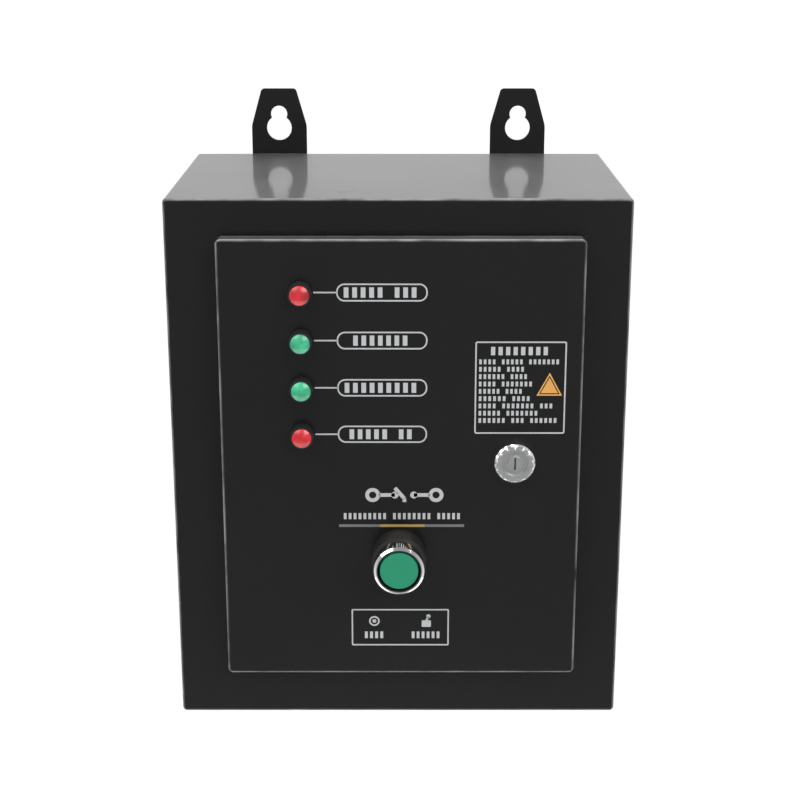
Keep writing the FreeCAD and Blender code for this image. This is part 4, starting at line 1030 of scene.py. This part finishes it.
@listed
class CHANGEOVER_OT_wiring_label(Operator):
    """Sticks a paper wiring diagram, without words, inside the door."""

    bl_idname = "changeover.wiring_label"
    bl_label = "Make the wiring label"

    def execute(self, context):
        low, high = edges_of("door_pan")
        inner = low[1] + 1.5 * MM
        left, right = low[0] + 76.0 * MM, high[0] - 30.0 * MM
        foot, top = high[2] - 84.0 * MM, high[2] - 24.0 * MM
        thin = 0.12 * MM
        sheet = solid_shapes([stadium(left, right, foot, top, 2.0 * MM)], inner - thin, inner + thin)
        white = paper(Paint("label_paper"), (0.7, 0.7, 0.66))
        make_piece("wiring_label", sheet, white, "door")
        stroke = 0.45 * MM
        edge = 3.0 * MM
        middle = (left + right) / 2
        drawn = [bar(left + edge, z, right - edge, z, stroke) for z in (foot + edge, top - edge)]
        drawn += [bar(x, foot + edge, x, top - edge, stroke) for x in (left + edge, right - edge)]
        rings = []
        bus, supply = foot + 13.0 * MM, top - 11.0 * MM
        break_low, break_high = bus + 13.0 * MM, bus + 21.0 * MM
        ring, bore = 1.3 * MM, 0.85 * MM
        for lane in (-1, 1):
            level = bus - lane * 1.5 * MM
            out = middle + lane * 3.0 * MM
            drawn.append(bar(middle - 27.0 * MM, level, middle + 27.0 * MM, level, stroke))
            drawn.append(bar(out, level, out, foot + 6.5 * MM, stroke))
            for way in (-1, 1):
                x = middle + way * 21.0 * MM + lane * 5.0 * MM
                drawn.append(bar(x, level, x, break_low, stroke))
                drawn.append(bar(x, break_low, x - 3.4 * MM, break_high - 0.6 * MM, stroke))
                drawn.append(bar(x, break_high, x, supply, stroke))
                rings.append((circle(x, supply + ring, ring, 24), circle(x, supply + ring, bore, 24)))
        ink_depth = thin * 1.6
        filled = solid_shapes(drawn, inner - ink_depth, inner + ink_depth)
        printed = joined([filled, line_prints(rings, inner, ink_depth)])
        black = ink(Paint("diagram_ink"), (0.03, 0.03, 0.035))
        make_piece("wiring_lines", printed, black, "door")
        return {"FINISHED"}


def area_light(name, place, target, width, height, watts):
    """A soft rectangular lamp aimed at a point."""
    light = bpy.data.lights.new(name, "AREA")
    light.shape = "RECTANGLE"
    light.size = width
    light.size_y = height
    light.energy = watts
    holder = bpy.data.objects.new(name, light)
    holder.location = place
    holder.rotation_euler = (Vector(target) - Vector(place)).to_track_quat("-Z", "Y").to_euler()
    bpy.context.scene.collection.objects.link(holder)


def surround(scene, front, back):
    """White surroundings, from a front strength to a back one, and white wherever the camera sees them."""
    world = bpy.data.worlds.new("studio")
    world.use_nodes = True
    scene.world = world
    tree = world.node_tree
    background = tree.nodes["Background"]
    background.inputs["Color"].default_value = (1.0, 1.0, 1.0, 1.0)
    path, place, split, ramp, largest = (
        tree.nodes.new("ShaderNode" + kind)
        for kind in ("LightPath", "TexCoord", "SeparateXYZ", "MapRange", "Math")
    )
    for key, value in {"From Min": -0.35, "From Max": 0.25, "To Min": front, "To Max": back}.items():
        ramp.inputs[key].default_value = value
    largest.operation = "MAXIMUM"
    tree.links.new(place.outputs["Generated"], split.inputs[0])
    tree.links.new(split.outputs["Y"], ramp.inputs["Value"])
    tree.links.new(ramp.outputs[0], largest.inputs[0])
    tree.links.new(path.outputs["Is Camera Ray"], largest.inputs[1])
    tree.links.new(largest.outputs[0], background.inputs["Strength"])


@listed
class CHANGEOVER_OT_stage(Operator):
    """Sets up the pale floor, the soft lights, the white surroundings and the camera."""

    bl_idname = "changeover.stage"
    bl_label = "Set the stage"

    def execute(self, context):
        scene = context.scene
        studio = scene.changeover_stage
        line = np.linspace(-studio.floor_reach, studio.floor_reach, 8)
        x, y = (grid.ravel() for grid in np.meshgrid(line, line))
        level = np.full(x.size, CAD_BOX[0][2] - studio.floor_drop)
        steps = len(line)
        corner = (np.arange(steps - 1)[:, None] * steps + np.arange(steps - 1)).ravel()
        faces = np.stack([corner, corner + 1, corner + steps + 1, corner + steps], axis=1)
        mesh = bpy.data.meshes.new("studio_floor")
        mesh.from_pydata(np.stack([x, y, level], axis=1).tolist(), [], faces.tolist())
        floor = bpy.data.objects.new("studio_floor", mesh)
        scene.collection.objects.link(floor)
        paint = Paint("floor_paint")
        mottle = paint.noise(6.0, 3.0)
        colour = tuple(studio.floor)
        shade = paint.blend(mottle * 0.3, colour, tinted(colour, 0.97))
        glow = {"Emission_Color": (1.0, 1.0, 1.0), "Emission_Strength": 0.45}
        mesh.materials.append(paint.finish(shade, 0.85 + mottle * 0.05, **glow))
        area_light("overhead", (0.0, 0.25, 1.7), (0.0, -0.05, 0.1), 1.8, 1.2, 26.0)
        area_light("key", (-1.3, -1.2, 1.5), (0.0, -0.1, 0.0), 1.8, 1.4, 26.0)
        area_light("fill", (1.0, -1.5, 1.15), (0.0, -0.1, 0.0), 1.2, 1.0, 22.0)
        surround(scene, 0.32, 1.05)
        camera = bpy.data.cameras.new("camera")
        camera.lens = studio.camera_lens
        camera.sensor_width = 36.0
        camera.clip_start = 0.01
        holder = bpy.data.objects.new("camera", camera)
        holder.location = (0.001, -studio.camera_distance, studio.camera_height)
        holder.rotation_euler = (math.pi / 2 - studio.camera_pitch, 0.0, 0.0)
        scene.collection.objects.link(holder)
        scene.camera = holder
        scene.view_settings.view_transform = "Standard"
        return {"FINISHED"}


class CHANGEOVER_PT_panel(bpy.types.Panel):
    """Lists the steps of the build."""

    bl_label = "Changeover Box"
    bl_space_type = "VIEW_3D"
    bl_region_type = "UI"
    bl_category = "Changeover"

    def draw(self, context):
        for step in STEPS:
            self.layout.operator(step.bl_idname)
        for group in GROUPS:
            settings = getattr(context.scene, group)
            for key in settings.__annotations__:
                self.layout.prop(settings, key)


GROUPS = {
    "changeover_finish": ChangeoverFinish,
    "changeover_print": ChangeoverPrint,
    "changeover_stage": ChangeoverStage,
}


def register():
    for name, group in GROUPS.items():
        bpy.utils.register_class(group)
        setattr(bpy.types.Scene, name, bpy.props.PointerProperty(type=group))
    for shown in (*STEPS, CHANGEOVER_PT_panel):
        bpy.utils.register_class(shown)


def unregister():
    for shown in (CHANGEOVER_PT_panel, *STEPS):
        bpy.utils.unregister_class(shown)
    for name, group in GROUPS.items():
        delattr(bpy.types.Scene, name)
        bpy.utils.unregister_class(group)


def main():
    register()
    for step in STEPS:
        group, call = step.bl_idname.split(".")
        getattr(getattr(bpy.ops, group), call)()


if __name__ == "__main__":
    main()
